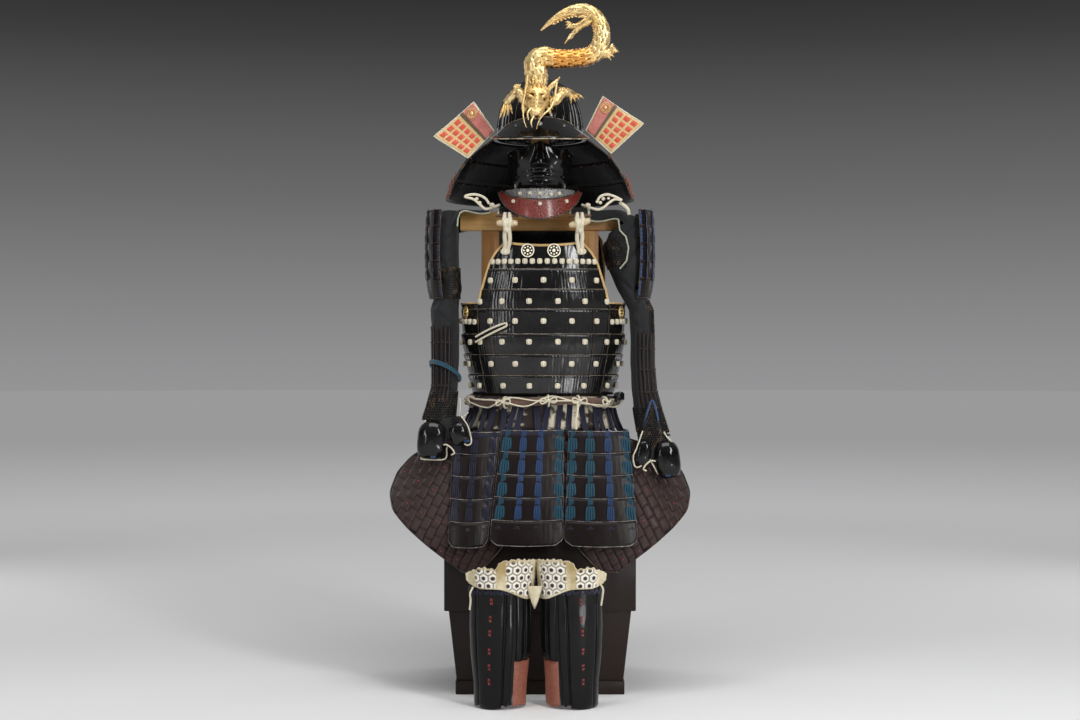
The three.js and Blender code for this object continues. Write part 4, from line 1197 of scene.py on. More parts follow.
def body_scales(u, t):
    belly = hill(u, 0.02, 0.07) + hill(u, 1.02, 0.07)
    ring = abs(math.sin(math.pi * t * spine_length / 9)) ** 0.5
    scales = scale_height(t * spine_length / SCALE_LONG, u * SCALES_ROUND)
    return 0.32 * scales * (1 - min(belly, 1)) + 0.12 * ring * min(belly, 1)


add_tube(bm, spine, lambda t: girth_at(SPINE_GIRTH, t) * 0.95, 60, relief=body_scales,
         hint=(0, -1, 0))
# The relief value picks the gold's colour: painted shade in the cuts between scales and a painted highlight
# on their heights.
carve = bm.verts.layers.float["relief"]
for vert in bm.verts:
    near = min(range(0, len(spine), 3), key=lambda i: (spine[i] - vert.co).length_squared)
    share = near / (len(spine) - 1)
    core = girth_at(SPINE_GIRTH, share) * 0.95
    distance = (vert.co - spine[near]).length
    vert[carve] = min(max((distance / max(core, 1) - 1.07) / 0.16, 0), 1)
finish_shape(bm, "dragon_body", GOLD, "crest", "gilt", ["crest_body"], closed=True, crease=80)

# %% [markdown]
# ## Fins, legs and claws
# A limb is a tube with a changing radius: a fin is a short flat one, a leg has a thick haunch and a
# narrow wrist, and a claw tapers to a point. Legs are scaled like the body and have curls of flame
# at the joint.

# %% Limbs
def add_limb(bm, points, radii, steps=14, sides=12, flat=1.0, worn=0.75, rough=0.0):
    """A tapering tube. rough adds small rings of carving."""
    path = smooth_path(points, steps)

    def carve_rings(u, t):
        return rough * math.sin(t * 40) * math.sin(u * 25)

    verts = add_tube(bm, path, lambda t: girth_at(radii, t), sides, flat=flat,
                     relief=carve_rings if rough else None)
    layer = bm.verts.layers.float["relief"]
    for vert in verts:
        if vert.is_valid:
            patchy = math.sin(vert.co.x * 0.9 + vert.co.z * 0.4) * math.sin(vert.co.z * 1.1)
            vert[layer] = worn * (0.72 + 0.4 * patchy)
    return path


def add_claws(bm, wrist, reach, spread, count=3, girth=3.2):
    """Curved claws that fan out from a paw."""
    wrist, reach, spread = Vector(wrist), Vector(reach), Vector(spread)
    for k in range(count):
        share = k / (count - 1) - 0.5
        tip = wrist + reach + spread * share * 2
        middle = wrist + reach * 0.55 + spread * share * 1.3 + Vector((0, -5, 2))
        add_limb(bm, [wrist + spread * share * 0.5, middle, tip], [girth, girth * 0.9, 0.5], 8, 8)


bm = new_shape()
y = CREST_Y - 4
add_limb(bm, [(124, y, 1545), (104, y, 1531), (86, y, 1522), (70, y, 1523)], [13, 11, 8, 5],
         18, 14, rough=0.05)
add_limb(bm, [(92, y, 1522), (80, y, 1510), (72, y, 1502)], [7, 6, 4], 10, 10, rough=0.04)
add_claws(bm, (74, y, 1521), (-17, -3, 2), (0, 0, 8), 3, 3.8)
add_claws(bm, (74, y, 1500), (-14, -2, -12), (4, 0, 7), 3, 3.6)
add_limb(bm, [(128, y, 1474), (146, y, 1460), (160, y, 1462)], [14, 12, 10], 14, 14, rough=0.07)
add_claws(bm, (160, y, 1463), (14, -4, 9), (-7, 0, 10), 5, 4.4)
add_claws(bm, (152, y, 1454), (14, -3, -7), (-4, 0, -4), 2, 3.8)
FLAMES = [((118, 1538), (106, 1549), (94, 1552)), ((112, 1536), (98, 1543), (86, 1540)),
          ((139, 1488), (150, 1494), (158, 1503)), ((128, 1470), (140, 1463), (153, 1461))]
for flame in FLAMES:
    add_limb(bm, [(x, y - 6, z) for x, z in flame], [4.5, 3.5, 0.6], 8, 8, flat=0.6)
for i in range(8, len(spine) - 16, 5):
    share = i / (len(spine) - 1)
    here = spine[i]
    along = (spine[i + 1] - spine[i - 1]).normalized()
    outer = Vector((along.z, 0, -along.x)) * -1
    girth = girth_at(SPINE_GIRTH, share)
    root = here + outer * girth * 0.85
    tip = root + outer * (5.5 + girth * 0.12) - along * 4
    add_limb(bm, [root - along * 2, root + outer * 2, tip], [3.6, 3.0, 0.5], 5, 6, flat=0.5,
             worn=0.9)
finish_shape(bm, "dragon_legs_and_fins", GOLD, "crest", "gilt", closed=True, crease=60)

# %% [markdown]
# ## The dragon's head
# The head hangs nose down on the brow of the helmet. Its skull is a tapered tube whose surface is
# moved in and out: brow ridges, eye sockets, a ridged nose with two nostrils, and cheeks. Brows,
# horns, lips, teeth, a mane and long whiskers are limbs laid on it.

# %% Skull
HEAD = [(-4, -164, 1388), (-5, -170, 1368), (-7, -182, 1346), (-9, -193, 1324), (-9, -198, 1311)]
HEAD_GIRTH = [18, 27, 25, 17, 11]
head_path = smooth_path(HEAD, 46)


def skull_carving(u, t):
    """u is 0.25 in front. t is 0 at the neck and 1 at the nose."""
    side = (u - 0.25 + 0.5) % 1.0 - 0.5
    x = abs(side)
    brow = 0.26 * hill(t, 0.37, 0.06) * hill(x, 0.11, 0.06)
    socket = -0.32 * hill(t, 0.49, 0.06) * hill(x, 0.11, 0.05)
    nose = 0.20 * hill(x, 0.0, 0.045) * smooth((t - 0.35) * 4)
    wrinkle = 0.09 * math.sin(t * 62) * hill(x, 0.0, 0.10) * smooth((t - 0.52) * 6)
    nostril = 0.34 * hill(t, 0.90, 0.05) * hill(x, 0.09, 0.04)
    cheek = 0.16 * hill(t, 0.62, 0.10) * hill(x, 0.24, 0.06)
    lip = 0.14 * hill(x, 0.20, 0.03) * smooth((t - 0.55) * 4)
    hair = 0.09 * math.sin(side * 90) * smooth((0.32 - t) * 8)
    return brow + socket + nose + wrinkle + nostril + cheek + lip + hair


bm = new_shape()
add_tube(bm, head_path, lambda t: girth_at(HEAD_GIRTH, t), 72, relief=skull_carving)
# The relief value picks the gold's colour: painted shade in the skull's hollows and a painted highlight on
# its heights.
carve = bm.verts.layers.float["relief"]
for vert in bm.verts:
    near = min(range(len(head_path)), key=lambda i: (head_path[i] - vert.co).length_squared)
    core = girth_at(HEAD_GIRTH, near / (len(head_path) - 1))
    vert[carve] = min(max(0.55 + ((vert.co - head_path[near]).length / core - 1.0) * 3, 0), 1)
finish_shape(bm, "dragon_skull", GOLD, "crest", "gilt", ["crest_head"], closed=True, crease=80)

# %% Features
bm = new_shape()
teeth = new_shape()
eyes = new_shape()
HORNS = {-1: [(-21, -174, 1370), (-28, -174, 1392), (-30, -168, 1419)],
         1: [(16, -174, 1374), (31, -174, 1389), (45, -168, 1406)]}
for side in (-1, 1):
    def at(x, y, z):
        return (side * x - 7, CREST_Y + y, z)

    add_limb(bm, [at(4, -33, 1346), at(12, -33, 1355), at(21, -27, 1362), at(30, -14, 1370)],
             [3.0, 4.4, 4.2, 0.9], 12, 8, flat=0.8)
    add_limb(bm, [at(5, -33, 1337), at(10, -30, 1342), at(17, -22, 1344)], [1.2, 1.8, 0.8], 8, 6)
    slant = Matrix.Rotation(-side * 0.45, 4, "Y")
    add_ball(eyes, Matrix.Translation(at(14, -27, 1347)) @ slant @ sized(6.0, 4.0, 3.2), 14, 8)
    add_limb(bm, [at(5, -37, 1322), at(9, -38, 1326), at(8, -34, 1331)], [2.8, 3.2, 1.5], 8, 8)
    add_limb(bm, [at(2, -36, 1314), at(9, -32, 1318), at(15, -24, 1330), at(20, -14, 1342)],
             [2.6, 2.8, 2.4, 1.2], 14, 8)
    add_limb(bm, [at(2, -26, 1309), at(8, -22, 1314), at(14, -14, 1326), at(18, -6, 1340)],
             [3.0, 3.0, 2.8, 2.0], 12, 8)
    for k, t in enumerate((0.15, 0.4, 0.62, 0.8)):
        root = Vector(at(blend(4, 15, t), blend(-34, -22, t), blend(1314, 1330, t)))
        add_limb(teeth, [root, root + Vector((0, 1, -5 if k else -8))], [1.5, 0.3], 4, 6)
    add_limb(bm, HORNS[side], [6.5, 5.4, 1.6], 16, 12, rough=0.07, worn=1.0)
    MANE = [(20, 2, 1364, 36, 8, 1350), (22, 4, 1354, 36, 12, 1334), (21, 4, 1344, 32, 10, 1320),
            (18, 0, 1372, 30, 10, 1384), (12, -14, 1378, 19, -10, 1398), (19, -8, 1360, 33, -4, 1372)]
    for x, y, z, tip_x, tip_y, tip_z in MANE:
        middle = (Vector(at(x, y, z)) + Vector(at(tip_x, tip_y, tip_z))) / 2 + Vector((0, -5, 4))
        add_limb(bm, [at(x, y, z), middle, at(tip_x, tip_y, tip_z)], [5.6, 4.6, 0.6], 8, 8,
                 flat=0.6, worn=0.85)
for k in range(5):
    x = (k - 2) * 6 - 2
    add_limb(bm, [(x, CREST_Y - 18, 1378), (x * 1.1, CREST_Y - 23, 1390), (x * 1.2, CREST_Y - 19, 1404)],
             [3.4, 3.0, 0.6], 8, 8, flat=0.6)
WHISKERS = [
    [(-28, -190, 1407), (-34, -196, 1366), (-39, -200, 1338), (-37, -203, 1306), (-31, -204, 1286)],
    [(38, -188, 1391), (33, -196, 1354), (23, -203, 1329), (7, -208, 1314), (-4, -210, 1297),
     (-8, -210, 1281)],
    [(-20, -204, 1330), (-28, -208, 1318), (-26, -210, 1302)],
    [(-14, -206, 1312), (-20, -210, 1298), (-18, -210, 1286)],
]
for whisker in WHISKERS:
    add_limb(bm, whisker, [2.6, 2.5, 2.2, 0.6], 26, 8, worn=1.0)
finish_shape(bm, "dragon_features", GOLD, "crest", "gilt", closed=True, crease=60)
finish_shape(teeth, "dragon_teeth", IVORY, "crest", "ivory", closed=True)
finish_shape(eyes, "dragon_eyes", BLACK_LACQUER, "crest", "lacquer")

# %% Forelegs and the prong
FORELEGS = {
    "L": [(-20, -1, 1346), (-36, 2, 1356), (-50, 8, 1374), (-64, 14, 1364), (-76, 22, 1350)],
    "R": [(20, -1, 1346), (36, 2, 1354), (48, 8, 1368), (62, 14, 1374), (74, 22, 1368)],
}
for side, route in FORELEGS.items():
    sign = -1 if side == "L" else 1
    bm = new_shape()
    path = [(x, CREST_Y + y, z) for x, y, z in route]
    add_limb(bm, path, [10, 12, 11, 10, 10], 24, 14, rough=0.09)
    wrist = Vector(path[-1])
    drop = -32 if side == "L" else -14
    reach = 2 if side == "L" else 12
    add_claws(bm, wrist, (sign * reach, -4, drop), (15, 0, 6), 4, 4.2)
    for k in range(3):
        root = Vector(path[2]) + Vector((sign * (k - 1) * 5, -5, 2))
        add_limb(bm, [root, root + Vector((sign * 3, -3, 8)), root + Vector((-sign * 2, 0, 15))],
                 [4, 3, 0.5], 6, 6, flat=0.6)
    finish_shape(bm, f"dragon_foreleg_{side}", GOLD, "crest", "gilt", [f"crest_foreleg_{side}"],
                 closed=True, crease=60)
bevelled_copy("crest_prong", "prong", GOLD, "gilt", 0.8, body="helmet")

# %% [markdown]
# ## Half mask
# The mask covers cheeks, nose and chin. Its face is a plain, calm one on even proportions: the nose
# is a third of the way down, the mouth lies midway between nose and chin, and nothing frowns. A
# function adds each feature's height to an oval shell, so that they all flow into one plate.

# %% Mask
MASK_TOP, MASK_BOTTOM, MASK_HALF_TURN = 1262, 1160, 1.35


def mask_relief(turn, h):
    """How far the face stands off its oval. h is the height above the chin's edge."""
    x = abs(turn) * 80
    nose_half = blend(15, 7, smooth((h - 52) / 40))
    nose = blend(25, 11, smooth((h - 54) / 46)) * hill(x, 0, nose_half) * smooth((h - 47) / 8)
    wings = 7 * hill(x, 13, 6) * hill(h, 56, 7)
    upper_lip = 5 * hill(x, 0, 25) * hill(h, 39, 4.5)
    lower_lip = 5.5 * hill(x, 0, 20) * hill(h, 28.5, 5)
    mouth = -6 * hill(x, 0, 24) * hill(h, 34, 2.4)
    hollow = -2.5 * hill(x, 0, 24) * hill(h, 20, 5)
    chin = 9 * hill(x, 0, 22) * hill(h, 9, 9)
    cheek = 7 * hill(x, 47, 17) * hill(h, 74, 17)
    fold = -1.8 * hill(x, 25 + (50 - h) * 0.22, 4) * hill(h, 46, 14)
    return nose + wings + upper_lip + lower_lip + mouth + hollow + chin + cheek + fold


def mask_point(u, v, proud=0.0):
    turn = blend(-MASK_HALF_TURN, MASK_HALF_TURN, u)
    side = abs(turn) / MASK_HALF_TURN
    rise = 10 * hill(turn, 0, 0.22)
    z = blend(MASK_BOTTOM, MASK_TOP - 16 * side ** 2 - 6 * hill(side, 0.45, 0.25), v) + rise * v ** 4 * 0.4
    jaw = 1 - 0.2 * (1 - v) ** 2
    stand = mask_relief(turn, v * (MASK_TOP - MASK_BOTTOM)) + proud
    return oval(0, -12, 79 * jaw + stand, 88 * jaw + stand, turn, z)


bm = new_shape()
add_grid(bm, 92, 58, mask_point, size=(0.22, 0.11))
finish_shape(bm, "mask", BLACK_LACQUER, "armour", "lacquer", ["half_mask"], solid=2.2, crease=80)
bm = new_shape()
for v, girth in ((1.0, 1.5), (0.0, 1.5)):
    add_tube(bm, [mask_point(k / 80, v, -0.8) for k in range(81)], girth, 6)
for side in (-1, 1):
    for h, reach in ((0.30, 0.30), (0.86, 0.36)):
        spot = seat(lambda u, v, proud: mask_point(u, v, proud), 0.5 + side * reach, h, 2, size=1)
        add_ball(bm, spot @ sized(3.2, 4.5, 3.2), 10, 6)
finish_shape(bm, "mask_rim_and_studs", BLACK_LACQUER, "armour", "lacquer")

# %% Throat guard
THROAT = {
    "upper": (170, 214, 1158, 1132, 1.5, 3, STIPPLE, "silver_lame"),
    "lower": (188, 250, 1159, 1154, 28, 69, RED_LEATHER, "red_leather"),
}


def throat_point(kind, u, v, proud=0.0):
    width, depth, top, bottom, top_sag, sag = THROAT[kind][:6]
    turn = blend(-1.3, 1.3, u)
    middle = 1 - (turn / 1.3) ** 2
    z = blend(bottom - sag * middle, top - top_sag * middle, v)
    off = 8 * (1 - v) + proud
    return oval(0, -6, width / 2 + off, depth / 2 + off, turn, z)


throat_knots = []
for kind, (width, depth, top, bottom, top_sag, sag, material, slot) in THROAT.items():
    def throat_spot(u, v, proud, lift=0.0):
        place = throat_point(kind, u, v, proud)
        return place + Vector((0, 0, lift))

    bm = new_shape()
    if kind == "upper":
        add_lame(bm, 26, 8, throat_spot, (0.28, 0.03), lean=0.5)
        shares = ((0.40, 0.62), (0.50, 0.60), (0.61, 0.5), (0.70, 0.62), (0.29, 0.62))
    else:
        add_grid(bm, 60, 12, lambda u, v: throat_spot(
            u, v, 1.2 * math.sin(math.pi * v)), size=(0.33, 0.05))
        shares = ((0.24, 0.70), (0.5, 0.76), (0.76, 0.70))
    finish_shape(bm, f"throat_lame_{kind}", material, "armour", slot, [f"throat_{kind}"], solid=2)
    for u, v in shares:
        throat_knots.append(seat(throat_spot, u, v, 1.6 if kind == "upper" else 2.6))
tile_shape(knot_shape(9, 8.5), throat_knots, "throat_knots", CREAM_CORD, "armour", "pale_cloth")
bm = new_shape()
for kind, girth in (("upper", 1.3), ("lower", 2.0)):
    for v in (0, 1):
        add_tube(bm, [throat_point(kind, k / 60, v, -0.5) for k in range(61)], girth, 6)
finish_shape(bm, "throat_rims", DARK_EDGE, "armour", "lacquer", closed=True)

# %% [markdown]
# ## Cuirass
# Six rows of lames close round the trunk below a plain breast board. On this kind of cuirass each
# lame laps outside the one above, so its scalloped top edge catches the light over a dark seam, and a
# pale bead along that edge is a painted highlight. The lames are held by spaced pairs of cord that show
# as cream knots, staggered from row to row, with close rows on the breast board and along the tops of
# the side plates.

# %% The cuirass's surface
CUIRASS_X = 8
CUIRASS = [(1090, 300, 196), (1032, 336, 214), (966, 366, 232), (896, 388, 246), (800, 388, 248),
           (740, 364, 240), (678, 338, 230)]
HOOPS = [873, 815, 767, 718, 678]
FRONT_HOLE = [(1034, 90), (1010, 112), (986, 126), (950, 137), (920, 146), (893, 152)]
BACK_HOLE = [(1076, 116), (1050, 140), (986, 147), (893, 148)]
SEAM = 0.9


def cuirass_point(turn, z, proud=0.0):
    width, depth = row_at(CUIRASS, z)
    return oval(CUIRASS_X, 0, width / 2 + proud, depth / 2 + proud, turn, z)


def reach_at(hole, z):
    """How far a breast or back plate goes round from its middle, at a height."""
    if hole is None or z < 893:
        return SEAM - 0.004 if hole else math.pi / 2 - SEAM - 0.004
    half = row_at(hole, z)[0]
    return math.asin(half / (row_at(CUIRASS, z)[0] / 2))


PLATES = [
    ("front", 0.0, FRONT_HOLE, [1034, 966, 919] + HOOPS, 8),
    ("back", math.pi, BACK_HOLE, [1076, 1020, 966, 919] + HOOPS, -10),
    ("side_L", -math.pi / 2, None, [893] + HOOPS, 0),
    ("side_R", math.pi / 2, None, [893] + HOOPS, 0),
]
OVERLAP = 5
knots, close_knots = [], []
beads = new_shape()
for name, middle, hole, edges, neck in PLATES:
    bm = new_shape()
    for row, (top, bottom) in enumerate(zip(edges, edges[1:])):
        board = row == 0

        def spot(u, v, proud, lift):
            share = 2 * u - 1
            z = blend(bottom, top + (0 if board else OVERLAP), v)
            dip = neck * (1 - share ** 2) * smooth(v * 4 - 3) if board else 0
            reach = reach_at(hole, min(max(z, bottom + 1), top))
            return cuirass_point(middle + share * reach, z - dip + lift, proud - 2.2 + (1.2 if board else 0))

        width = 0.39 * math.pi * (0.5 if hole else 0.21)
        scales = 42 if hole else 16
        if board and hole:
            add_grid(bm, 84, 16, lambda u, v: spot(u, v, 0.6 * math.sin(math.pi * v), 0),
                     size=(width, (top - bottom) * MM))
        else:
            rows = 8 if name == "front" else 4
            add_lame(bm, scales, rows, spot, (width, (top - bottom) * MM), rib=0.28, head=1.1, lean=3.2)
            # A pale bead along the lame's top edge: a painted highlight.
            add_tube(beads, [spot(k / 90, 1, 3.4, 1.2 * abs(math.sin(math.pi * k / 90 * scales)) ** 0.6)
                             for k in range(91)], 0.42, 5)
    finish_shape(bm, f"cuirass_lames_{name}", PLATE_LACQUER, "armour", "lacquer", [f"cuirass_{name}"],
                 solid=2, crease=75)
finish_shape(beads, "lame_highlights", WORN_EDGE_AND_HIGHLIGHT, "armour", "lacquer", closed=True)

# %% Knots of the cuirass
KNOT_STEP = 54.0
KNOT_HEIGHTS = (945, 896, 850, 802, 751, 700)
for name, middle, hole, edges, neck in PLATES:
    for index, z in enumerate(KNOT_HEIGHTS):
        if not hole and z > 810:
            continue
        reach = reach_at(hole, z) - 0.03
        step = KNOT_STEP / (sum(row_at(CUIRASS, z)) / 4)
        for turn in [(k + 0.5 * (index % 2)) * step for k in range(-9, 10)]:
            if abs(turn) < reach:
                knots.append(seat(cuirass_point, middle + turn, z, 3.0))
    if hole:
        z = 989
        reach = math.asin((118 if name == "front" else 128) / (row_at(CUIRASS, z)[0] / 2))
        for k in range(16):
            close_knots.append(seat(cuirass_point, middle + blend(-reach, reach, k / 15), z, 1.4))
    else:
        for k in range(12):
            turn = blend(-1, 1, k / 11) * (math.pi / 2 - SEAM - 0.06)
            share = k / 11 if name == "side_R" else 1 - k / 11
            close_knots.append(seat(cuirass_point, middle + turn, 849 + 8 * share, 2.6))
tile_shape(knot_shape(13.5, 13.5, deep=4), knots, "cuirass_knots", CREAM_CORD, "armour", "pale_cloth", seed=3)
tile_shape(knot_shape(12.5, 13, deep=4), close_knots, "cuirass_close_knots", CREAM_CORD, "armour",
           "pale_cloth")

# %% Piping, hinge edges and bosses
def plate_outline(middle, hole, edges, neck):
    """The edge of a breast or back plate above its armholes, from left to right over the neck."""
    top = edges[0]
    left = []
    for k in range(26):
        z = blend(893, top, k / 25)
        left.append(cuirass_point(middle - reach_at(hole, min(z, top - 0.5)), z, -0.4))
    across = []
    for k in range(1, 40):
        share = blend(-1, 1, k / 40)
        z = top - neck * (1 - share ** 2)
        across.append(cuirass_point(middle + share * reach_at(hole, top), z, -0.4))
    right = [cuirass_point(middle + reach_at(hole, min(blend(893, top, k / 25), top - 0.5)),
                           blend(893, top, k / 25), -0.4) for k in range(26)]
    return left + across + right[::-1]


bm = new_shape()
for name, middle, hole, edges, neck in PLATES[:2]:
    add_tube(bm, plate_outline(middle, hole, edges, neck), 3.0, 8)
for sign in (-1, 1):
    middle = sign * math.pi / 2
    reach = math.pi / 2 - SEAM - 0.01
    add_tube(bm, [cuirass_point(middle + blend(-reach, reach, k / 24), 893, 0) for k in range(25)],
             2.6, 8)
PIPING = weave("gilt_piping", tint(150, 108, 56), tint(226, 192, 128), 1400)
finish_shape(bm, "cuirass_piping", PIPING, "armour", "pale_cloth", closed=True)

bm = new_shape()
for turn in (-0.66, 0.64):
    for top, bottom in zip(HOOPS, HOOPS[1:]):
        low, high = bottom + 6, top + 3
        add_tube(bm, [cuirass_point(turn, blend(low, high, k / 8), blend(-0.6, 2.2, k / 8))
                      for k in range(9)], 0.6, 6)
for sign in (-1, 1):
    for base in (0, math.pi):
        for top, bottom in zip(HOOPS, HOOPS[1:]):
            low, high = bottom + 4, top + 3
            add_tube(bm, [cuirass_point(base + sign * SEAM, blend(low, high, k / 8),
                                        blend(-0.4, 2.2, k / 8)) for k in range(9)], 0.9, 6)
finish_shape(bm, "plate_edges", DARK_EDGE, "armour", "lacquer", closed=True)


def add_boss(bm, matrix, radius):
    """A plain ring with a petalled button inside it."""
    add_tube(bm, ring_path(matrix, radius, -1.6, 41), 1.3, 8)
    layer = bm.verts.layers.float["relief"]
    for k in range(8):
        a = 2 * math.pi * k / 8
        petal = Vector((radius * 0.62 * math.cos(a), -1.4, radius * 0.62 * math.sin(a)))
        add_ball(bm, matrix @ Matrix.Translation(petal) @ sized(radius * 0.15, 1.2, radius * 0.15), 8, 6)
    add_ball(bm, matrix @ sized(radius * 0.3, 3.0, radius * 0.3), 12, 8)
    for vert in bm.verts:
        vert[layer] = 0.85


bm = new_shape()
discs = new_shape()
breast = new_shape()
FRONT_BOSSES = ((-36, 1014), (24, 1014))
for x, z in FRONT_BOSSES:
    place = seat(cuirass_point, math.asin(x / 172), z, 1.2)
    add_boss(breast, place, 14.5)
    add_ball(discs, place @ sized(14, 1.4, 14), 28, 6)
for turn in (-1.17, 1.17):
    place = seat(cuirass_point, turn, 872, 3.0)
    add_boss(bm, place, 14)
finish_shape(bm, "side_bosses", GOLD, "armour", "gilt")
finish_shape(breast, "breast_bosses", CREAM_LACQUER, "armour", "ivory")
finish_shape(discs, "boss_grounds", BLACK_LACQUER, "armour", "lacquer")

# %% [markdown]
# ## Shoulder straps, toggles and mask cords
# Padded straps run from the back plate over the stand's bar. In front, a loop of cord on each strap is
# buttoned over an ivory toggle, and two more cords drop from the toggle to a knot on the breast board.
# Loops of the same cream cord, which tie the mask, lie on the flaps at its two sides.

# %% Straps
STRAP_HALF, STRAP_WIDTH, STRAP_TOP, STRAP_DROP = 94, 42, 1117, 26


def strap_point(sign, u, v, proud=0.0):
    y = blend(-STRAP_HALF, STRAP_HALF, v)
    z = STRAP_TOP - STRAP_DROP * (y / STRAP_HALF) ** 2 + 4 + proud
    return Vector((CUIRASS_X + sign * 84 + (u - 0.5) * STRAP_WIDTH, y, z))


STRAP_CLOTH = weave("strap_cloth", tint(5, 5, 6), tint(26, 24, 25), 800, sheen=0.05)
for name, sign in (("L", -1), ("R", 1)):
    bm = new_shape()
    add_grid(bm, 10, 36, lambda u, v: strap_point(
        sign, u, v, 1.4 * math.sin(math.pi * u) ** 0.5 - 0.6 * abs(math.sin(v * 14)) ** 8),
        size=(0.042, 0.2))
    finish_shape(bm, f"strap_{name}", STRAP_CLOTH, "armour", "lacquer", [f"shoulder_strap_{name}"],
                 solid=4)
    bm = new_shape()
    for u in (0, 1):
        add_tube(bm, [strap_point(sign, u, k / 30, -1.5) for k in range(31)], 2.2, 6)
    add_tube(bm, [strap_point(sign, k / 8, 0, -1.5) for k in range(9)], 1.8, 6)
    finish_shape(bm, f"strap_piping_{name}", PALE_CLOTH, "armour", "pale_cloth", closed=True)

# %% Toggles and their cords
for name, sign in (("L", -1), ("R", 1)):
    x = CUIRASS_X + sign * 84
    axis = [(x - 24, -112, 1074 - sign * 3), (x, -114, 1077), (x + 24, -112, 1080 + sign * 3)]
    path = smooth_path(axis, 24)
    bm = new_shape()

    def barrel(t):
        waist = 1 - 0.12 * hill(t, 0.5, 0.10)
        return (5.2 + 3.6 * math.sin(math.pi * t) ** 0.6) * waist

    add_tube(bm, path, barrel, 16)
    finish_shape(bm, f"toggle_peg_{name}", IVORY, "armour", "ivory", [f"toggle_{name}"], closed=True)
    bm = new_shape()
    for side in (-1, 1):
        top = strap_point(sign, 0.5 + 0.14 * side, 0.02, 2)
        add_tube(bm, smooth_path([top, (x + side * 5, -104, 1098), (x + side * 7, -119, 1085),
                                  (x + side * 6, -123, 1077), (x + side * 4, -118, 1066)], 16), 4.8, 8)
        low = cuirass_point(math.asin((x - CUIRASS_X + side * 4) / 168), 1016, 2)
        add_tube(bm, smooth_path([(x + side * 4, -118, 1066), (x + side * 6, -110, 1046),
                                  (x + side * 5, -104, 1032), low], 14), 4.8, 8)
    wrap = [Vector((x + 3 * math.cos(a), -114 + 9.5 * math.sin(a * 3), 1077 + 9.5 * math.cos(a * 3)))
            for a in np.linspace(0, 2 * math.pi, 40)]
    add_tube(bm, wrap, 2.8, 6)
    knot = cuirass_point(math.asin((x - CUIRASS_X) / 168), 1012, 4)
    add_ball(bm, sized(12, 6.5, 8.0, knot), 12, 8)
    add_ball(bm, sized(8.5, 6.0, 6.5, (x, -119, 1060)), 12, 8)
    bar = smooth_path([(x - 26, -104, 1094), (x, -108, 1096), (x + 26, -104, 1094)], 10)
    finish_shape(bm, f"toggle_cords_{name}", CREAM_CORD, "armour", "pale_cloth")
    tab = new_shape()
    add_tube(tab, bar, 3.6, 10)
    finish_shape(tab, f"strap_tab_{name}", BROWN_LEATHER, "armour", "red_leather", closed=True)


# %% Mask cords
BOWS = {
    "L": [(-94, -60, 1124), (-110, -66, 1118), (-127, -70, 1113), (-141, -72, 1124), (-156, -72, 1136),
          (-176, -70, 1142), (-160, -72, 1147), (-141, -72, 1145), (-127, -72, 1137), (-119, -72, 1125)],
    "R": [(98, -60, 1124), (116, -66, 1117), (136, -70, 1112), (149, -72, 1117), (162, -72, 1128),
          (176, -71, 1136), (192, -70, 1133), (175, -72, 1142), (157, -72, 1147), (141, -72, 1142),
          (132, -72, 1128)],
}
for name, route in BOWS.items():
    sign = -1 if name == "L" else 1
    knot = new_shape()
    for x, z, size in ((112, 1122, 6.5), (148, 1137, 4.5), (141, 1128, 4.5), (160, 1138, 3.6)):
        add_ball(knot, sized(size, size * 0.8, size * 0.9, (sign * x, -71, z)), 12, 8)
    knot = finish_shape(knot, f"bow_knot_{name}", CREAM_CORD, "armour", "pale_cloth")
    free_cord(f"bow_{name}", route, 6.0, CREAM_CORD, "pale_cloth", steps=60)

# %% [markdown]
# ## Waist
# Below the last hoop hangs a band of dark cloth with pale worn patches. In front of it run the skirt's
# suspension cords, in navy threes, and over both lies a rolled belt. Cream cord is wound round the belt
# and tied to it in places.

# %% Waist cloth
WAIST = [(675, 330, 224, 8), (640, 338, 240, 6), (600, 360, 272, 4)]
WAIST_TOP, WAIST_FOOT = 675, 600


def waist_point(turn, z, proud=0.0):
    width, depth, x = row_at(WAIST, z)
    return oval(x, 0, width / 2 + proud, depth / 2 + proud, turn, z)


def waist_fold(turn, v):
    """Uneven hanging folds that fade towards the belt."""
    deep = 2.4 * math.cos(turn * 16 + 1.2 * math.sin(turn * 3)) + 1.4 * math.cos(turn * 29 + 2)
    return deep * (1 - v) ** 0.8


bm = new_shape()
add_grid(bm, 160, 10, lambda u, v: waist_point(
    2 * math.pi * u, blend(WAIST_FOOT, WAIST_TOP, v), waist_fold(2 * math.pi * u, v)),
    size=(0.98, 0.075))
waist = finish_shape(bm, "waist_band", WAIST_CLOTH, "armour", "pale_cloth", ["waist_cloth"], solid=1.4)

# %% Suspension cords
bm = new_shape()
HANGERS = 38
rng = random.Random(7)
for k in range(HANGERS):
    turn = 2 * math.pi * (k + 0.5 + 0.28 * rng.uniform(-1, 1)) / HANGERS
    shift = 0.05 * rng.uniform(-1, 1)
    for strand in (-1, 0, 1):
        t = turn + strand * 0.026
        foot = waist_point(t + shift, 597, 9 + 3 * rng.random())
        out = (foot - Vector((4, 0, 597))).normalized()
        tip = foot + out * 4 - Vector((0, 0, 7))
        path = smooth_path([waist_point(t, 672, 2), waist_point(t, 650, 3.5),
                            waist_point(t + shift * 0.6, 622, 6), foot, tip], 9)
        add_tube(bm, path, 2.3, 6, flat=0.55)
finish_shape(bm, "suspension_cords", NAVY_CORD, "armour", "belt_cloth", closed=True)

# %% Belt
BELT_Z, BELT_WIDTH, BELT_DEPTH, BELT_GIRTH = 663, 356, 262, 10


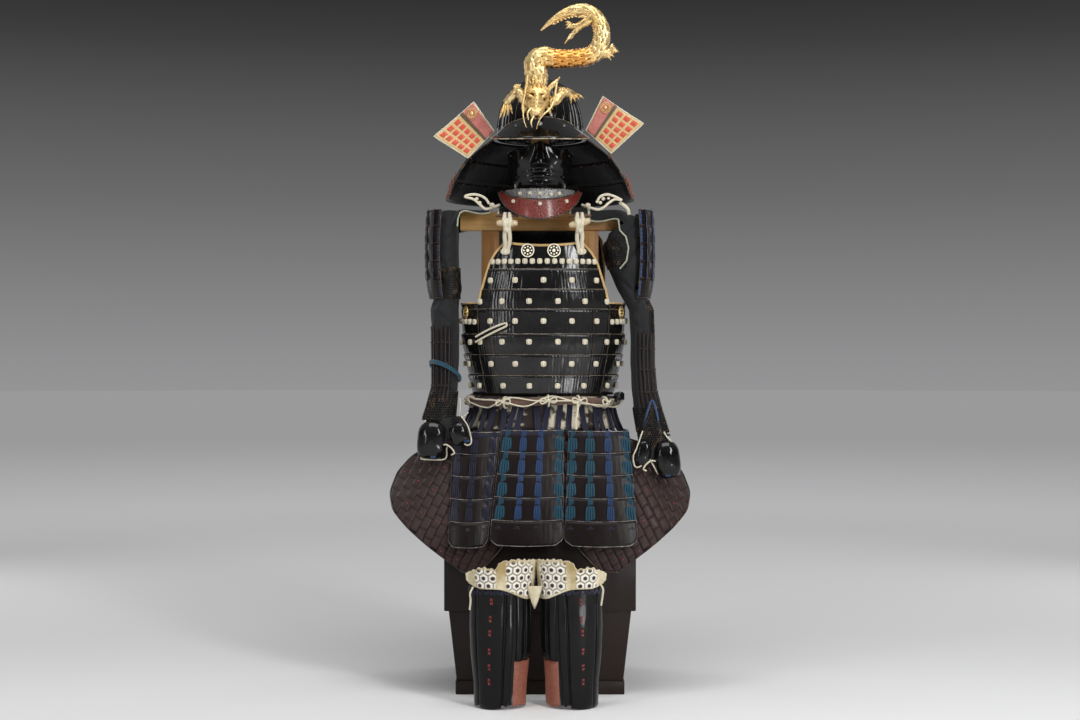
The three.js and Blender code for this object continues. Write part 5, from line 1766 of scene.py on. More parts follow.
def belt_point(turn, off=0.0, up=0.0):
    sway = 3 * math.sin(turn * 3 + 1)
    return oval(CUIRASS_X, 0, BELT_WIDTH / 2 + off, BELT_DEPTH / 2 + off, turn, BELT_Z + sway + up)


def belt_skin(u, v):
    turn, round_it = 2 * math.pi * u, 2 * math.pi * v
    crease = 1 + 0.10 * math.sin(round_it * 2 + turn * 26) + 0.07 * math.sin(turn * 41 + round_it)
    return belt_point(turn, BELT_GIRTH * 0.7 * crease * math.cos(round_it),
                      BELT_GIRTH * 0.95 * crease * math.sin(round_it))


bm = new_shape()
add_grid(bm, 260, 18, belt_skin, size=(0.97, 0.06))
belt = finish_shape(bm, "belt_roll", BELT_CLOTH, "armour", "belt_cloth", ["belt"], closed=True)
bm = new_shape()
for phase, turns, girth in ((0.3, 5, 1.9), (2.4, 4, 1.7)):
    path = []
    for k in range(420):
        turn = 2 * math.pi * k / 419
        wind = phase + turns * turn + 1.1 * math.sin(turn * 4 + phase)
        path.append(belt_point(turn, 10.5 * abs(math.cos(wind)) ** 0.5 * 0.9 + 1.0,
                               10.5 * math.sin(wind)))
    add_tube(bm, path, girth, 7)
TIES = (-1.27, -0.52, 0.06, 0.46, 0.92, 2.2, 3.3, 4.4)
for turn in TIES:
    ring = [belt_point(turn + 0.008 * k / 24, 9.6 * math.cos(a), 12.4 * math.sin(a))
            for k, a in enumerate(np.linspace(0, 2 * math.pi, 25))]
    add_tube(bm, ring, 2.3, 7)
    lean = 0.4 * math.sin(turn * 7)
    loops = [belt_point(turn + 0.10 * math.sin(a), 11 + 2 * math.cos(a),
                        1 + 6 * math.sin(2 * a) + 8 * lean * math.sin(a))
             for a in np.linspace(0, 2 * math.pi, 41)]
    add_tube(bm, loops, 1.9, 7)
    add_ball(bm, sized(4.6, 4, 4, belt_point(turn, 13, 1)), 10, 6)
finish_shape(bm, "belt_cords", CREAM_CORD, "armour", "pale_cloth")
bm = new_shape()
for path in ([(172, -92, 672), (180, -99, 682), (192, -96, 681), (190, -90, 671), (178, -92, 668)],
             [(174, -96, 682), (184, -100, 674), (194, -93, 670)],
             [(186, -98, 680), (181, -101, 673), (176, -96, 664)]):
    add_tube(bm, smooth_path(path, 20), 4.0, 10)
finish_shape(bm, "belt_knot_cord", BLACK_LACQUER, "armour", "lacquer", ["belt_knot"], closed=True)

# %% [markdown]
# ## Skirt
# Seven panels hang all round. Each has five lames that lap upwards, like those of the cuirass, and
# each lame is joined to the next by bundles of flat braid. The outer columns of a panel are teal and
# the inner ones blue, and those on the left panel are navy. A close row of navy braid ties the first
# lame, and a thin worn edge runs round every lame.

# %% Panels
TASSETS = {
    "front_C": (0, (-87, 54), (-114, 51), (159, 248), 598),
    "front_L": (0, (-199, -92), (-206, -120), (157, 246), 594),
    "front_R": (0, (66, 204), (55, 220), (157, 244), 596),
    "side_L": (-math.pi / 2, (-62, 84), (-84, 76), (198, 240), 594),
    "side_R": (math.pi / 2, (-84, 62), (-76, 84), (206, 242), 594),
    "back_L": (math.pi, (8, 172), (4, 200), (156, 244), 594),
    "back_R": (math.pi, (-168, -4), (-196, -8), (156, 244), 594),
}
TASSET_LENGTH, TASSET_CROWN, TASSET_LAMES = 252, 10, 5
LACE_COLUMNS = {
    "front_C": (("teal", 0.10), ("blue", 0.36), ("blue", 0.63), ("teal", 0.93)),
    "front_L": (("navy", 0.12), ("navy", 0.48), ("navy", 0.88)),
    "front_R": (("teal", 0.07), ("teal", 0.35), ("blue", 0.64), ("teal", 0.93)),
}
BACK_COLUMNS = (("teal", 0.09), ("blue", 0.36), ("blue", 0.64), ("teal", 0.91))
WIDE_LACE, SLIM_LACE = 1.15, 0.85
BRAIDS = {"teal": TEAL_CORD, "blue": BLUE_CORD, "navy": NAVY_CORD}


def tasset_point(name, u, z, proud=0.0):
    facing, top, foot_x, out, top_z = TASSETS[name]
    rise = (z - top_z + TASSET_LENGTH) / TASSET_LENGTH
    x = blend(blend(foot_x[0], foot_x[1], u), blend(top[0], top[1], u), rise)
    off = blend(out[1], out[0], rise) - TASSET_CROWN * (2 * u - 1) ** 2 + proud
    return Matrix.Rotation(facing, 3, "Z") @ Vector((x, -off, z))


laces = {"teal": [], "blue": [], "navy": []}
ends = []
top_laces = []
tasset_rims = new_shape()
for name, (facing, top, foot_x, out, top_z) in TASSETS.items():
    bm = new_shape()
    edges = [top_z - TASSET_LENGTH * k / TASSET_LAMES for k in range(TASSET_LAMES + 1)]
    width = (foot_x[1] - foot_x[0]) * MM
    for row, (high, low) in enumerate(zip(edges, edges[1:])):
        last = row == TASSET_LAMES - 1

        def spot(u, v, proud, lift=0.0):
            z = blend(low, high + (0 if row == 0 else 4), v) + lift
            sag = -3.0 * (1 - (2 * u - 1) ** 2) * (1 if row else 0.3)
            corner = 1.0
            if last:
                corner = 1 - 0.055 * smooth(1 - v * 5)
            share = 0.5 + (u - 0.5) * corner
            lift_corner = 7 * smooth((abs(2 * u - 1) - 0.82) * 5.5) * smooth(1 - v * 3) if last else 0
            return tasset_point(name, share, z + sag + lift_corner, proud - 1.0)

        def plain(u, v):
            proud = 0.12 * abs(math.sin(math.pi * u * 14)) + 3.4 * v ** 1.5
            return spot(u, v, proud + 1.2 * math.sin(math.pi * v))

        add_grid(bm, 56, 8, plain, size=(width, (high - low) * MM))
        if row:
            add_tube(tasset_rims, [spot(k / 40, 1, 3.6, 0.3) for k in range(41)], 0.6, 5)
        if last:
            round_foot = ([spot(0, 1 - t, 3.4 * (1 - t) ** 1.5 - 0.4) for t in np.linspace(0, 1, 10)]
                          + [spot(t, 0, -0.3) for t in np.linspace(0, 1, 44)][1:]
                          + [spot(1, t, 3.4 * t ** 1.5 - 0.4) for t in np.linspace(0, 1, 10)][1:])
            add_tube(tasset_rims, round_foot, 0.8, 5)
        else:
            for u in (0.0, 1.0):
                add_tube(tasset_rims, [spot(u, t, 3.4 * t ** 1.5 - 0.5) for t in np.linspace(0, 1, 6)],
                         0.6, 5)
        for colour, u in LACE_COLUMNS.get(name, BACK_COLUMNS):
            def lace_seat(a, b, proud):
                return tasset_point(name, a, b, proud)

            if not last:
                middle = (high + low) / 2 - 10
                slim = Matrix.Diagonal((WIDE_LACE if colour == "teal" else SLIM_LACE, 1, 1, 1))
                laces[colour].append(seat(lace_seat, u, middle, 2.8) @ slim)
                laces[colour].append(seat(lace_seat, u + 0.003, middle + 25, 2.4, size=0.62))
            else:
                for k in (-1, 0, 1):
                    ends.append(seat(lace_seat, u + 0.022 * k, high - 12 - 3 * (k % 2), 1.6))
    add_tube(tasset_rims, [tasset_point(name, k / 30, top_z, -0.6) for k in range(31)], 1.2, 5)
    for k in range(24):
        top_laces.append(seat_on(tasset_point, name, (k + 0.5) / 24, top_z - 9, 1.6, spin=0.35))
    finish_shape(bm, f"skirt_{name}", BROWN_LACQUER, "armour", "plates", [f"tasset_{name}"],
                 solid=2.2, crease=60)
finish_shape(tasset_rims, "skirt_edges", GREY_EDGE, "armour", "lacquer", closed=True)
for colour, places in laces.items():
    tile_shape(lace_shape(20, 42, 4, pinch=0.72), places, f"skirt_lacing_{colour}", BRAIDS[colour], "armour",
               "belt_cloth", seed=5)
tile_shape(cross_shape(5.0), ends, "skirt_lacing_ends", NAVY_CORD, "armour", "belt_cloth")
tile_shape(lace_shape(5.6, 12, 1), top_laces, "skirt_top_lacing", NAVY_CORD, "armour", "belt_cloth")

# %% [markdown]
# ## Thigh aprons
# Each apron is a sheet of cloth with small curved plates laced over it in slanting rows, like roof
# tiles. The plates start at the waist and follow the apron's spread. The cloth is a thin shell on the
# apron's own form, with a cord bound round its edge.

# %% Aprons
APRON_ROWS = [(597, 14, 140), (570, 16, 236), (540, 18, 296), (500, 22, 332), (455, 30, 348),
              (415, 44, 338), (375, 62, 296), (335, 86, 248), (300, 118, 200), (282, 140, 172)]
APRON_HANG = [(600, 124, 146), (560, 142, 156), (500, 170, 176), (440, 192, 206), (385, 213, 222),
              (280, 216, 222)]


def apron_edges(z):
    """The inner and outer edge at a height, rounded between the rows of the table."""
    spread = [row_at(APRON_ROWS, z + dz) for dz in (-9, -4, 0, 4, 9)]
    return [sum(column) / 5 for column in zip(*spread)]


def apron_point(sign, across, z, proud=0.0):
    out, corner = row_at(APRON_HANG, z)
    y = -out + 0.0034 * max(0, across - corner) ** 2
    wave = 1.6 * math.sin(across * 0.045 + z * 0.02)
    return Vector((sign * across, y - proud - wave, z))


TILE_ALONG, TILE_ACROSS, TILE_LEAN = 28.0, 20.0, math.radians(27)
apron_top, apron_foot = APRON_ROWS[0][0], APRON_ROWS[-1][0]
for name, sign in (("L", -1), ("R", 1)):
    bm = new_shape()

    def cloth_spot(u, v):
        z = blend(apron_foot, apron_top, v)
        inner, outer = apron_edges(z)
        return apron_point(sign, blend(inner, outer, u if sign > 0 else 1 - u), z, 1.0)

    add_grid(bm, 36, 44, cloth_spot, size=(0.3, 0.33))
    cloth = finish_shape(bm, f"apron_cloth_{name}", APRON_CLOTH, "armour", "plates",
                         [f"thigh_apron_{name}"], solid=1.6)
    tiles = new_shape()
    c, s = math.cos(TILE_LEAN), math.sin(TILE_LEAN)
    for i in range(-14, 22):
        for j in range(-16, 18):
            along = (j + 0.5 * (i % 2)) * TILE_ALONG
            side = i * TILE_ACROSS
            middle_x = 60 + side * c + along * s
            middle_z = 560 + side * s - along * c
            if not apron_foot + 4 < middle_z < apron_top - 4:
                continue
            inner, outer = apron_edges(middle_z)
            if not inner - 4 < middle_x < outer + 4:
                continue

            def tile_spot(u, v):
                across, down = (u - 0.5) * TILE_ACROSS, (0.5 - v) * TILE_ALONG * 1.1
                x = middle_x + across * c + down * s
                z = middle_z + across * s - down * c
                z = min(max(z, apron_foot + 3), apron_top - 2)
                low, high = apron_edges(z)
                x = min(max(x, low + 2.5), high - 2.5)
                dome = 0.7 * math.sin(math.pi * u) ** 0.5
                return apron_point(sign, x, z, 2.2 + dome + 1.5 * (1 - v))

            add_grid(tiles, 4, 4, (lambda u, v: tile_spot(u, v)) if sign > 0 else
                     (lambda u, v: tile_spot(1 - u, v)), size=(0.02, 0.02))
    finish_shape(tiles, f"apron_plates_{name}", RUSSET_LACQUER, "armour", "plates", solid=1.0,
                 crease=75)
    bm = new_shape()
    edge = []
    for k in range(61):
        z = blend(apron_top, apron_foot, k / 60)
        edge.append(apron_point(sign, apron_edges(z)[1], z, 1.6))
    for k in range(60, -1, -1):
        z = blend(apron_top, apron_foot, k / 60)
        edge.append(apron_point(sign, apron_edges(z)[0], z, 1.6))
    add_tube(bm, edge, 1.4, 6)
    finish_shape(bm, f"apron_edge_{name}", DARK_EDGE, "armour", "pale_cloth", closed=True)
    ties = []
    for i in range(9):
        for j in range(9):
            x = 60 + (i - 2) * 2 * TILE_ACROSS * c + (j - 2) * 2 * TILE_ALONG * s
            z = 560 + (i - 2) * 2 * TILE_ACROSS * s - (j - 2) * 2 * TILE_ALONG * c
            if apron_foot + 14 < z < 560 and apron_edges(z)[0] + 8 < x < apron_edges(z)[1] - 8:
                ties.append(seat_on(apron_point, sign, x, z, 5.2))
    tile_shape(cross_shape(3.2), ties, f"apron_ties_{name}", RED_CORD, "armour", "plates", seed=9)

# %% [markdown]
# ## Sleeves
# A sleeve is a tube of dark cloth, laced up behind, with iron sewn to it: patches of mail where the arm
# bends and long splints on the forearm. Nobody wears these, so each one hangs flat and creased from the
# stand's bar. The top of the cloth lies over the bar towards the neck, with pale piping on its edge.
#
# The cloth is built as a thin tube through the sizes of the sleeve's sections. The creases are listed
# one by one: each has its own height, side, length, depth and slant, so no two are alike.

# %% Sleeve form
SLEEVES = {
    "L": [(1112, 214, 0, 22, 54, 0), (1060, 224, 0, 31, 60, 0), (1000, 226, -4, 33, 56, 0),
          (930, 217, -10, 27, 52, 0), (878, 226, -22, 34, 54, 0), (830, 222, -38, 32, 50, 0),
          (760, 221, -62, 31, 44, 0), (700, 221, -86, 29, 38, 0), (655, 228, -106, 33, 36, 0),
          (622, 234, -120, 37, 34, 0)],
    "R": [(1087, 208, -6, 44, 54, 0.6), (1040, 202, -6, 52, 56, 0.3), (985, 208, -8, 50, 56, 0),
          (930, 212, -14, 30, 46, 0), (878, 238, -26, 28, 52, 0), (820, 240, -44, 27, 48, 0),
          (750, 239, -66, 27, 42, 0), (690, 242, -90, 28, 36, 0), (640, 250, -112, 32, 34, 0),
          (586, 262, -136, 36, 32, 0)],
}
SIGNS = {"L": -1, "R": 1}
CREASES = {
    "L": [(1085, 0.4, 40, 2.6, 0.5), (1052, -0.5, 55, 2.2, -0.7), (1010, 0.7, 60, 2.8, 0.8),
          (985, -0.2, 45, 2.0, -0.4), (955, 0.5, 50, 3.0, 0.9), (905, -0.6, 40, 2.4, 0.6),
          (890, 0.8, 44, 2.8, -0.6), (862, 0.1, 52, 2.6, 0.7), (845, 2.6, 60, 2.8, 0.5),
          (1030, 2.4, 70, 2.6, -0.8), (960, 3.1, 60, 2.8, 0.6), (700, 2.7, 50, 2.2, -0.5),
          (640, 0.2, 30, 1.6, 0.4), (1075, -1.9, 50, 2.4, 0.7), (920, -1.8, 55, 2.8, -0.6)],
    "R": [(1060, 0.1, 60, 3.2, 0.9), (1035, 0.9, 45, 2.4, -0.5), (1000, 0.2, 70, 3.0, 1.1),
          (968, -0.7, 50, 2.8, 0.8), (940, -0.4, 60, 3.4, -0.9), (925, 0.4, 48, 3.0, 0.7),
          (900, -0.1, 56, 2.6, 1.0), (872, 0.3, 44, 2.2, 0.8), (850, -0.8, 50, 2.4, -0.6),
          (1020, 2.6, 66, 3.0, 0.7), (950, 3.0, 60, 2.8, -0.8), (830, 2.5, 52, 2.4, 0.6),
          (700, 2.9, 46, 2.0, 0.5), (620, 0.5, 32, 1.6, -0.4), (1000, -2.0, 60, 2.6, 0.8)],
}


def sleeve_point(side, turn, z, proud=0.0):
    x, y, wide, deep, tilt = row_at(SLEEVES[side], z)
    across = (wide + proud) * math.sin(turn)
    return Vector((SIGNS[side] * (x + across), y - (deep + proud) * math.cos(turn), z + tilt * across))


def crease_depth(side, turn, z):
    depth = 0.0
    for height, middle, length, deep, slant in CREASES[side]:
        away = (turn - middle + math.pi) % (2 * math.pi) - math.pi
        run = away * 44
        off = (z - height) - slant * run
        if abs(run) < length:
            shape = math.cos(run / length * math.pi / 2) ** 2
            depth += deep * shape * (hill(off, 0, 7) - 0.45 * hill(off, 12, 8))
    return -depth


# %% Sleeve cloth
for side, sign in SIGNS.items():
    top, foot = SLEEVES[side][0][0], SLEEVES[side][-1][0]
    bm = new_shape()

    def skin(u, v):
        turn, z = sign * 2 * math.pi * u + math.pi, blend(foot, top, v)
        edge = smooth(min(v, 1 - v) * 14)
        slack = 0.8 * math.sin(turn * 9 + z * 0.04) * math.sin(z * 0.05 + turn)
        reach = Vector((0, -4, -15)) * smooth(1 - v * 12)
        return sleeve_point(side, turn, z, (crease_depth(side, turn, z) + slack) * edge) + reach

    add_grid(bm, 72, 122, skin, size=(0.27, 0.5))
    cloth = finish_shape(bm, f"sleeve_tube_{side}", SLEEVE_CLOTH, "armour", "sleeve_cloth",
                         [f"sleeve_{side}"], solid=1.4, crease=70)
    bm = new_shape()
    cuff = foot + 1.5
    add_tube(bm, [sleeve_point(side, a, cuff, 1) for a in np.linspace(0, 2 * math.pi, 61)], 2.0, 6)
    finish_shape(bm, f"cuff_piping_{side}", STRAP_CLOTH, "armour", "sleeve_cloth")

# %% Shoulder flaps
FLAP_IN, FLAP_OUT = 117, 236
FLAP_DROPS = {"L": (9, 44), "R": (27, 48)}


def flap_point(side, u, v, proud=0.0):
    """The cloth over the bar: u from the neck outwards, v from the front hem over to the back hem."""
    reach = blend(FLAP_IN, FLAP_OUT, u)
    spread = blend(30, 58, smooth(u * 1.2))
    front = blend(*FLAP_DROPS[side], smooth((u - 0.5) * 2.4))
    drop = blend(front, 44, smooth(v * 2 - 0.4)) + 3 * math.sin(u * 9 + v * 2)
    crest = blend(1118, 1116, u) - 16 * smooth((u - 0.6) * 2.5)
    angle = (v - 0.5) * math.pi * 1.02
    wave = 1.5 * math.sin(u * 11 + v * 5) + 1.1 * math.sin(u * 5 - v * 9)
    return Vector((SIGNS[side] * reach, (spread + proud + wave) * math.sin(angle),
                   crest - drop + (drop + proud + wave) * max(math.cos(angle), -0.1)))


FLAP_PIPED = {"L": 18, "R": 17}
ARMHOLE_PIPING = {
    "L": [Vector((-193, -52, 1092)), Vector((-194, -56, 1074))],
    "R": [sleeve_point("R", turn, z, 3.5) for turn, z in
          ((-0.4, 1074), (-0.04, 1050), (0.06, 1022), (-0.08, 993), (-0.45, 974))],
}
for side, sign in SIGNS.items():
    bm = new_shape()
    add_grid(bm, 40, 36, lambda u, v: flap_point(side, u if sign > 0 else 1 - u, v), size=(0.12, 0.16))
    flap = finish_shape(bm, f"shoulder_flap_{side}", SLEEVE_CLOTH, "armour", "sleeve_cloth", solid=1.5)
    bm = new_shape()
    hem = [flap_point(side, k / 30, 0, 0.5) for k in range(FLAP_PIPED[side], -1, -1)]
    hem = ARMHOLE_PIPING[side][::-1] + hem
    neck_edge = [flap_point(side, 0, k / 24, 0.5) for k in range(1, 25)]
    back_hem = [flap_point(side, k / 30, 1, 0.5) for k in range(1, 31)]
    add_tube(bm, hem + neck_edge + back_hem, 2.0, 6)
    finish_shape(bm, f"flap_piping_{side}", FLAP_BINDING, "armour", "pale_cloth", closed=True)


# %% Mail
def ring_shape(radius, thick, steps=8):
    """One wire ring: a small three-sided profile spun right round."""
    bm = new_shape()
    made = bmesh.ops.create_circle(bm, segments=3, radius=thick)
    bmesh.ops.transform(bm, verts=made["verts"], space=Matrix(),
                        matrix=Matrix.Translation((radius, 0, 0)) @ Matrix.Rotation(math.pi / 2, 4, "X"))
    bmesh.ops.spin(bm, geom=bm.verts[:] + bm.edges[:], cent=(0, 0, 0), axis=(0, 0, 1),
                   angle=2 * math.pi, steps=steps, use_merge=True)
    bmesh.ops.rotate(bm, verts=bm.verts, cent=(0, 0, 0), matrix=Matrix.Rotation(math.pi / 2, 3, "X"))
    bmesh.ops.recalc_face_normals(bm, faces=bm.faces)
    return bm


MAIL_IRON = lacquer("mail_iron", tint(22, 18, 16), tint(128, 104, 72), 0.3, 0.56, dust=0.05, coat=0.0)
RING_PITCH = 5.6
MAIL = {
    "L": [(905, 978, -math.pi, math.pi), (626, 692, -math.pi, math.pi)],
    "R": [(974, 1060, -1.5, -0.1), (800, 905, 0.75, 1.5), (594, 652, -math.pi, math.pi)],
}
places = []
for side, zones in MAIL.items():
    for low, high, start, stop in zones:
        rows = int((high - low) / RING_PITCH)
        for row in range(rows):
            z = low + (row + 0.5) * RING_PITCH
            wide, deep = row_at(SLEEVES[side], z)[2:4]
            length = (stop - start) * math.sqrt((wide ** 2 + deep ** 2) / 2)
            count = max(3, int(length / RING_PITCH))
            for k in range(count):
                turn = blend(start, stop, (k + 0.5 * (row % 2)) / count)
                proud = 1.6 + crease_depth(side, turn, z) + 0.7 * (k % 2)
                places.append(seat_on(sleeve_point, side, turn, z, proud))
print("rings of mail:", len(places))
tile_shape(ring_shape(3.4, 0.8, 7), places, "mail", MAIL_IRON, "armour", "lacquer", seed=3)

# %% Forearm splints
GUARD_FROM, GUARD_TO, GUARD_LONG = -0.5, 2.0, 178
SPLINTS = {"L": 8, "R": 7}
for side, sign in SIGNS.items():
    low = SLEEVES[side][-2][0] + 6
    bm, seams = new_shape(), new_shape()
    wide = (GUARD_TO - GUARD_FROM) / SPLINTS[side]
    for k in range(SPLINTS[side]):
        start, stop = GUARD_FROM + wide * (k + 0.10), GUARD_FROM + wide * (k + 0.90)
        uneven = 4 * math.sin(k * 2.1)

        def strip(u, v):
            turn = blend(start, stop, u if sign > 0 else 1 - u)
            tip = 6 * (2 * u - 1) ** 2 * (smooth(1 - v * 8) - smooth(v * 8 - 7))
            z = blend(low, low + GUARD_LONG, v) + tip + uneven * (v - 0.5)
            return sleeve_point(side, turn, z, 1.4 + 1.9 * math.sin(math.pi * u) ** 0.6)

        add_grid(bm, 6, 24, strip, size=(0.011, 0.18))
        for z in (low + 40, low + 92, low + 140):
            for turn in (start, stop):
                add_ball(seams, sized(1.5, 1.5, 2.4, sleeve_point(side, turn, z, 3.2)), 6, 4)
    finish_shape(bm, f"splints_{side}", BROWN_LACQUER, "armour", "plates", [f"forearm_guard_{side}"],
                 solid=1.3, crease=50)
    finish_shape(seams, f"splint_links_{side}", IRON, "armour", "plates")
    bm = new_shape()
    for turn, girth in ((GUARD_FROM - 0.14, 2.2), (GUARD_TO + 0.12, 1.8)):
        add_tube(bm, [sleeve_point(side, turn, blend(low - 8, low + GUARD_LONG + 6, k / 30), 0.8)
                      for k in range(31)], girth, 6)
    finish_shape(bm, f"sleeve_piping_{side}", STRAP_CLOTH, "armour", "sleeve_cloth", closed=True)

# %% Ties on the sleeves
bm = new_shape()
for off in (0, 5.2):
    ring = []
    for k in range(61):
        turn = -2 * math.pi * k / 60
        z = 737 + 22 * math.cos(turn - 0.9) - off
        ring.append(sleeve_point("L", turn, z, 5.8))
    add_tube(bm, ring, 2.5, 8)
finish_shape(bm, "forearm_tie_L", TEAL_CORD, "armour", "belt_cloth")
free_cord("wrist_loop_R", [(238, -150, 598), (240, -157, 620), (248, -160, 648), (256, -160, 668),
                           (263, -160, 655), (268, -158, 634), (272, -157, 612)], 4.6,
          BLUE_CORD, "belt_cloth", steps=40)
free_cord("wrist_cord_L", [(-184, -142, 672), (-183, -146, 650), (-185, -148, 632), (-176, -150, 630),
                           (-164, -152, 640)], 2.4, CREAM_CORD, "pale_cloth")

# %% [markdown]
# ## Shoulder guards
# Five lames hang edge on to the front beside each sleeve. Blue braid laces most of the right guard on
# the outside, and navy braid the left one. A short cream cord lies by the right one's top.

# %% Shoulder guards
GUARD_TOP, GUARD_DROP, GUARD_BEND, GUARD_OUT = 1112, 206, 90, 270


def guard_point(side, u, z, proud=0.0):
    y = blend(-72, 72, u)
    bend = GUARD_BEND - math.sqrt(GUARD_BEND ** 2 - y * y)
    sway = -7 * ((z - (GUARD_TOP - GUARD_DROP * 0.45)) / (GUARD_DROP * 0.55)) ** 2
    return Vector((SIGNS[side] * (GUARD_OUT + sway - bend + proud), y - 4, z))


blue, navy = [], []
rims = new_shape()
for side, sign in SIGNS.items():
    bm = new_shape()
    step = GUARD_DROP / 5
    for row in range(5):
        high, low = GUARD_TOP - step * row, GUARD_TOP - step * (row + 1)

        def lame(u, v):
            z = blend(low, high + (5 if row else 0), v)
            along = u if sign > 0 else 1 - u
            return guard_point(side, along, z, 3.2 * v ** 1.4 + 1.4 * math.sin(math.pi * v) - 0.6)

        add_grid(bm, 30, 7, lame, size=(0.16, step * MM))
        add_tube(rims, [guard_point(side, k / 30, high + (5 if row else 0), 3.0) for k in range(31)],
                 0.9, 5)
        for k in range(5):
            spot = (k + 0.5) / 5
            if row < 4:
                long_laces = blue if side == "R" and k != 2 else navy
                long_laces.append(seat_on(guard_point, side, spot, low + 16, 2.6))
                short_laces = blue if side == "R" else navy
                short_laces.append(seat_on(guard_point, side, spot, low + 38, 2.8, size=0.6))
    add_tube(rims, [guard_point(side, k / 30, GUARD_TOP - GUARD_DROP, -0.4) for k in range(31)], 1.1, 5)
    for u in (0, 1):
        add_tube(rims, [guard_point(side, u, GUARD_TOP - GUARD_DROP * k / 30, 0.8) for k in range(31)],
                 0.9, 5)
    finish_shape(bm, f"shoulder_lames_{side}", BROWN_LACQUER, "armour", "plates",
                 [f"shoulder_guard_{side}"], solid=2.0, crease=60)
    edge_cord = new_shape()
    for row in range(5):
        high = GUARD_TOP - step * row - 6
        for k in range(4):
            add_ball(edge_cord, sized(3.2, 2.6, 4.6, guard_point(side, 0.012, high - 8.5 * k, 1.0)), 8, 6)
    finish_shape(edge_cord, f"guard_edge_lacing_{side}", BLUE_CORD if side == "R" else NAVY_CORD,
                 "armour", "belt_cloth")
finish_shape(rims, "shoulder_edges", DARK_EDGE, "armour", "lacquer", closed=True)
cord = new_shape()
GUARD_CORD = [(188, -62, 1128), (197, -74, 1121), (205, -78, 1112), (208, -72, 1101)]
add_tube(cord, smooth_path(GUARD_CORD, 12), 4, 8)
finish_shape(cord, "guard_cord", CREAM_CORD, "armour", "pale_cloth", closed=True)
tile_shape(lace_shape(20, 34, 4), blue, "shoulder_lacing_blue", BLUE_CORD, "armour", "belt_cloth")
tile_shape(lace_shape(15, 30, 4), navy, "shoulder_lacing_navy", NAVY_CORD, "armour", "belt_cloth")

# %% [markdown]
# ## Hand guards
# Each sleeve ends in two domed iron plates, a broad one for the back of the hand and a small one for
# the thumb. They are black lacquer, and are sewn to a flap of cloth and mail that has a pale bound edge.

# %% Hand guards
HANDS = {
    "hand_plate_L": (-247, -164, 577, 66, 88, 20, -0.08),
    "thumb_plate_L": (-184, -184, 592, 42, 52, 11, 0.35),
    "hand_plate_R": (290, -176, 534, 58, 86, 20, 0.12),
    "thumb_plate_R": (235, -184, 548, 34, 58, 10, -0.2),
}
DOME = [(0, 1), (0.35, 0.94), (0.7, 0.7), (0.92, 0.3), (1, 0)]


def hand_point(name, angle, radius, proud=0.0):
    x, y, z, width, height, dome, lean = HANDS[name]
    power = 3.1 - 0.8 * math.sin(angle)
    square = (abs(math.cos(angle)) ** power + abs(math.sin(angle)) ** power) ** (-1 / power)
    rise = row_at([(a * 100, b) for a, b in reversed(DOME)], radius * 100)[0]
    across = (width / 2 * radius * square + proud * radius) * math.cos(angle)
    up = (height / 2 * radius * square + proud * radius) * math.sin(angle)
    c, s = math.cos(lean), math.sin(lean)
    return Vector((x + across * c - up * s, y - dome * rise - proud * (1 - radius), z + across * s + up * c))


for name in HANDS:
    bm = new_shape()
    add_grid(bm, 44, 12, lambda u, v: hand_point(name, 2 * math.pi * u, 1 - v, 0.3), size=(0.2, 0.05))
    finish_shape(bm, f"{name}_lacquered", BLACK_LACQUER, "armour", "lacquer", [name], solid=2.4)

# %% Mittens under the hand guards
MITTENS = {
    "L": [(-262, 622), (-275, 596), (-278, 565), (-272, 538), (-271, 534), (-244, 532), (-216, 535),
          (-213, 560), (-209, 586), (-198, 592), (-187, 585), (-168, 567), (-156, 574), (-164, 608),
          (-180, 632)],
    "R": [(252, 660), (246, 630), (233, 597), (220, 560), (212, 540), (216, 518), (228, 518),
          (238, 532), (249, 534), (258, 520), (271, 499), (289, 494), (308, 514), (313, 540),
          (305, 566), (286, 590), (272, 622), (264, 660)],
}
MITTEN_FLAT = {"L": (0.122, 0.100, 0.0079), "R": (0.101, 0.166, 0.0087)}


def mitten_point(x, z, proud=0.0):
    """A place on the flap of cloth and mail that the two plates are sewn to."""
    if x < 0:
        y = -160 - 22 * smooth((x + 214) / 24)
    else:
        y = -182 + 8 * smooth((x - 240) / 15)
    return Vector((x, y + 26 * smooth((z - 575) / 90) - proud, z))


BINDING_TOP_R = 600
mitten_mail = []
for side, outline in MITTENS.items():
    path = smooth_path([mitten_point(x, z, 3) for x, z in outline], 90)
    bm = new_shape()
    add_tube(bm, [point for point in path if side == "L" or point.z < BINDING_TOP_R], 1.7, 7)
    finish_shape(bm, f"hand_binding_{side}", CREAM_BINDING, "armour", "pale_cloth", closed=True)
    bm = new_shape()
    edge = [bm.verts.new(point + Vector((0, 5, 0))) for point in path[::2]]
    bm.faces.new(edge)
    bmesh.ops.triangulate(bm, faces=bm.faces)
    for face in bm.faces:
        for loop in face.loops:
            loop[bm.loops.layers.uv.active].uv = (loop.vert.co.x * MM, loop.vert.co.z * MM)
    flap = finish_shape(bm, f"mitten_{side}", STRAP_CLOTH, "armour", "sleeve_cloth", closed=True, solid=1.2)
    width, length, area = MITTEN_FLAT[side]
    for row in range(24):
        z = 538 + row * RING_PITCH * 0.9
        for col in range(22):
            x = (-262 if side == "L" else 226) + (col + 0.5 * (row % 2)) * RING_PITCH * 0.9
            near = z > 612 - 24 * smooth((x + 222) / 10) and x < -172 - 1.2 * max(0, z - 618)
            cuff = abs(x - 256) < 5 + (660 - z) * 0.2 and z < 655
            if (z < 630 and near) if side == "L" else cuff:
                mitten_mail.append(seat(mitten_point, x, z, 1.5))
tile_shape(ring_shape(3.1, 0.75, 7), mitten_mail, "mitten_mail", MAIL_IRON, "armour", "lacquer", seed=6)
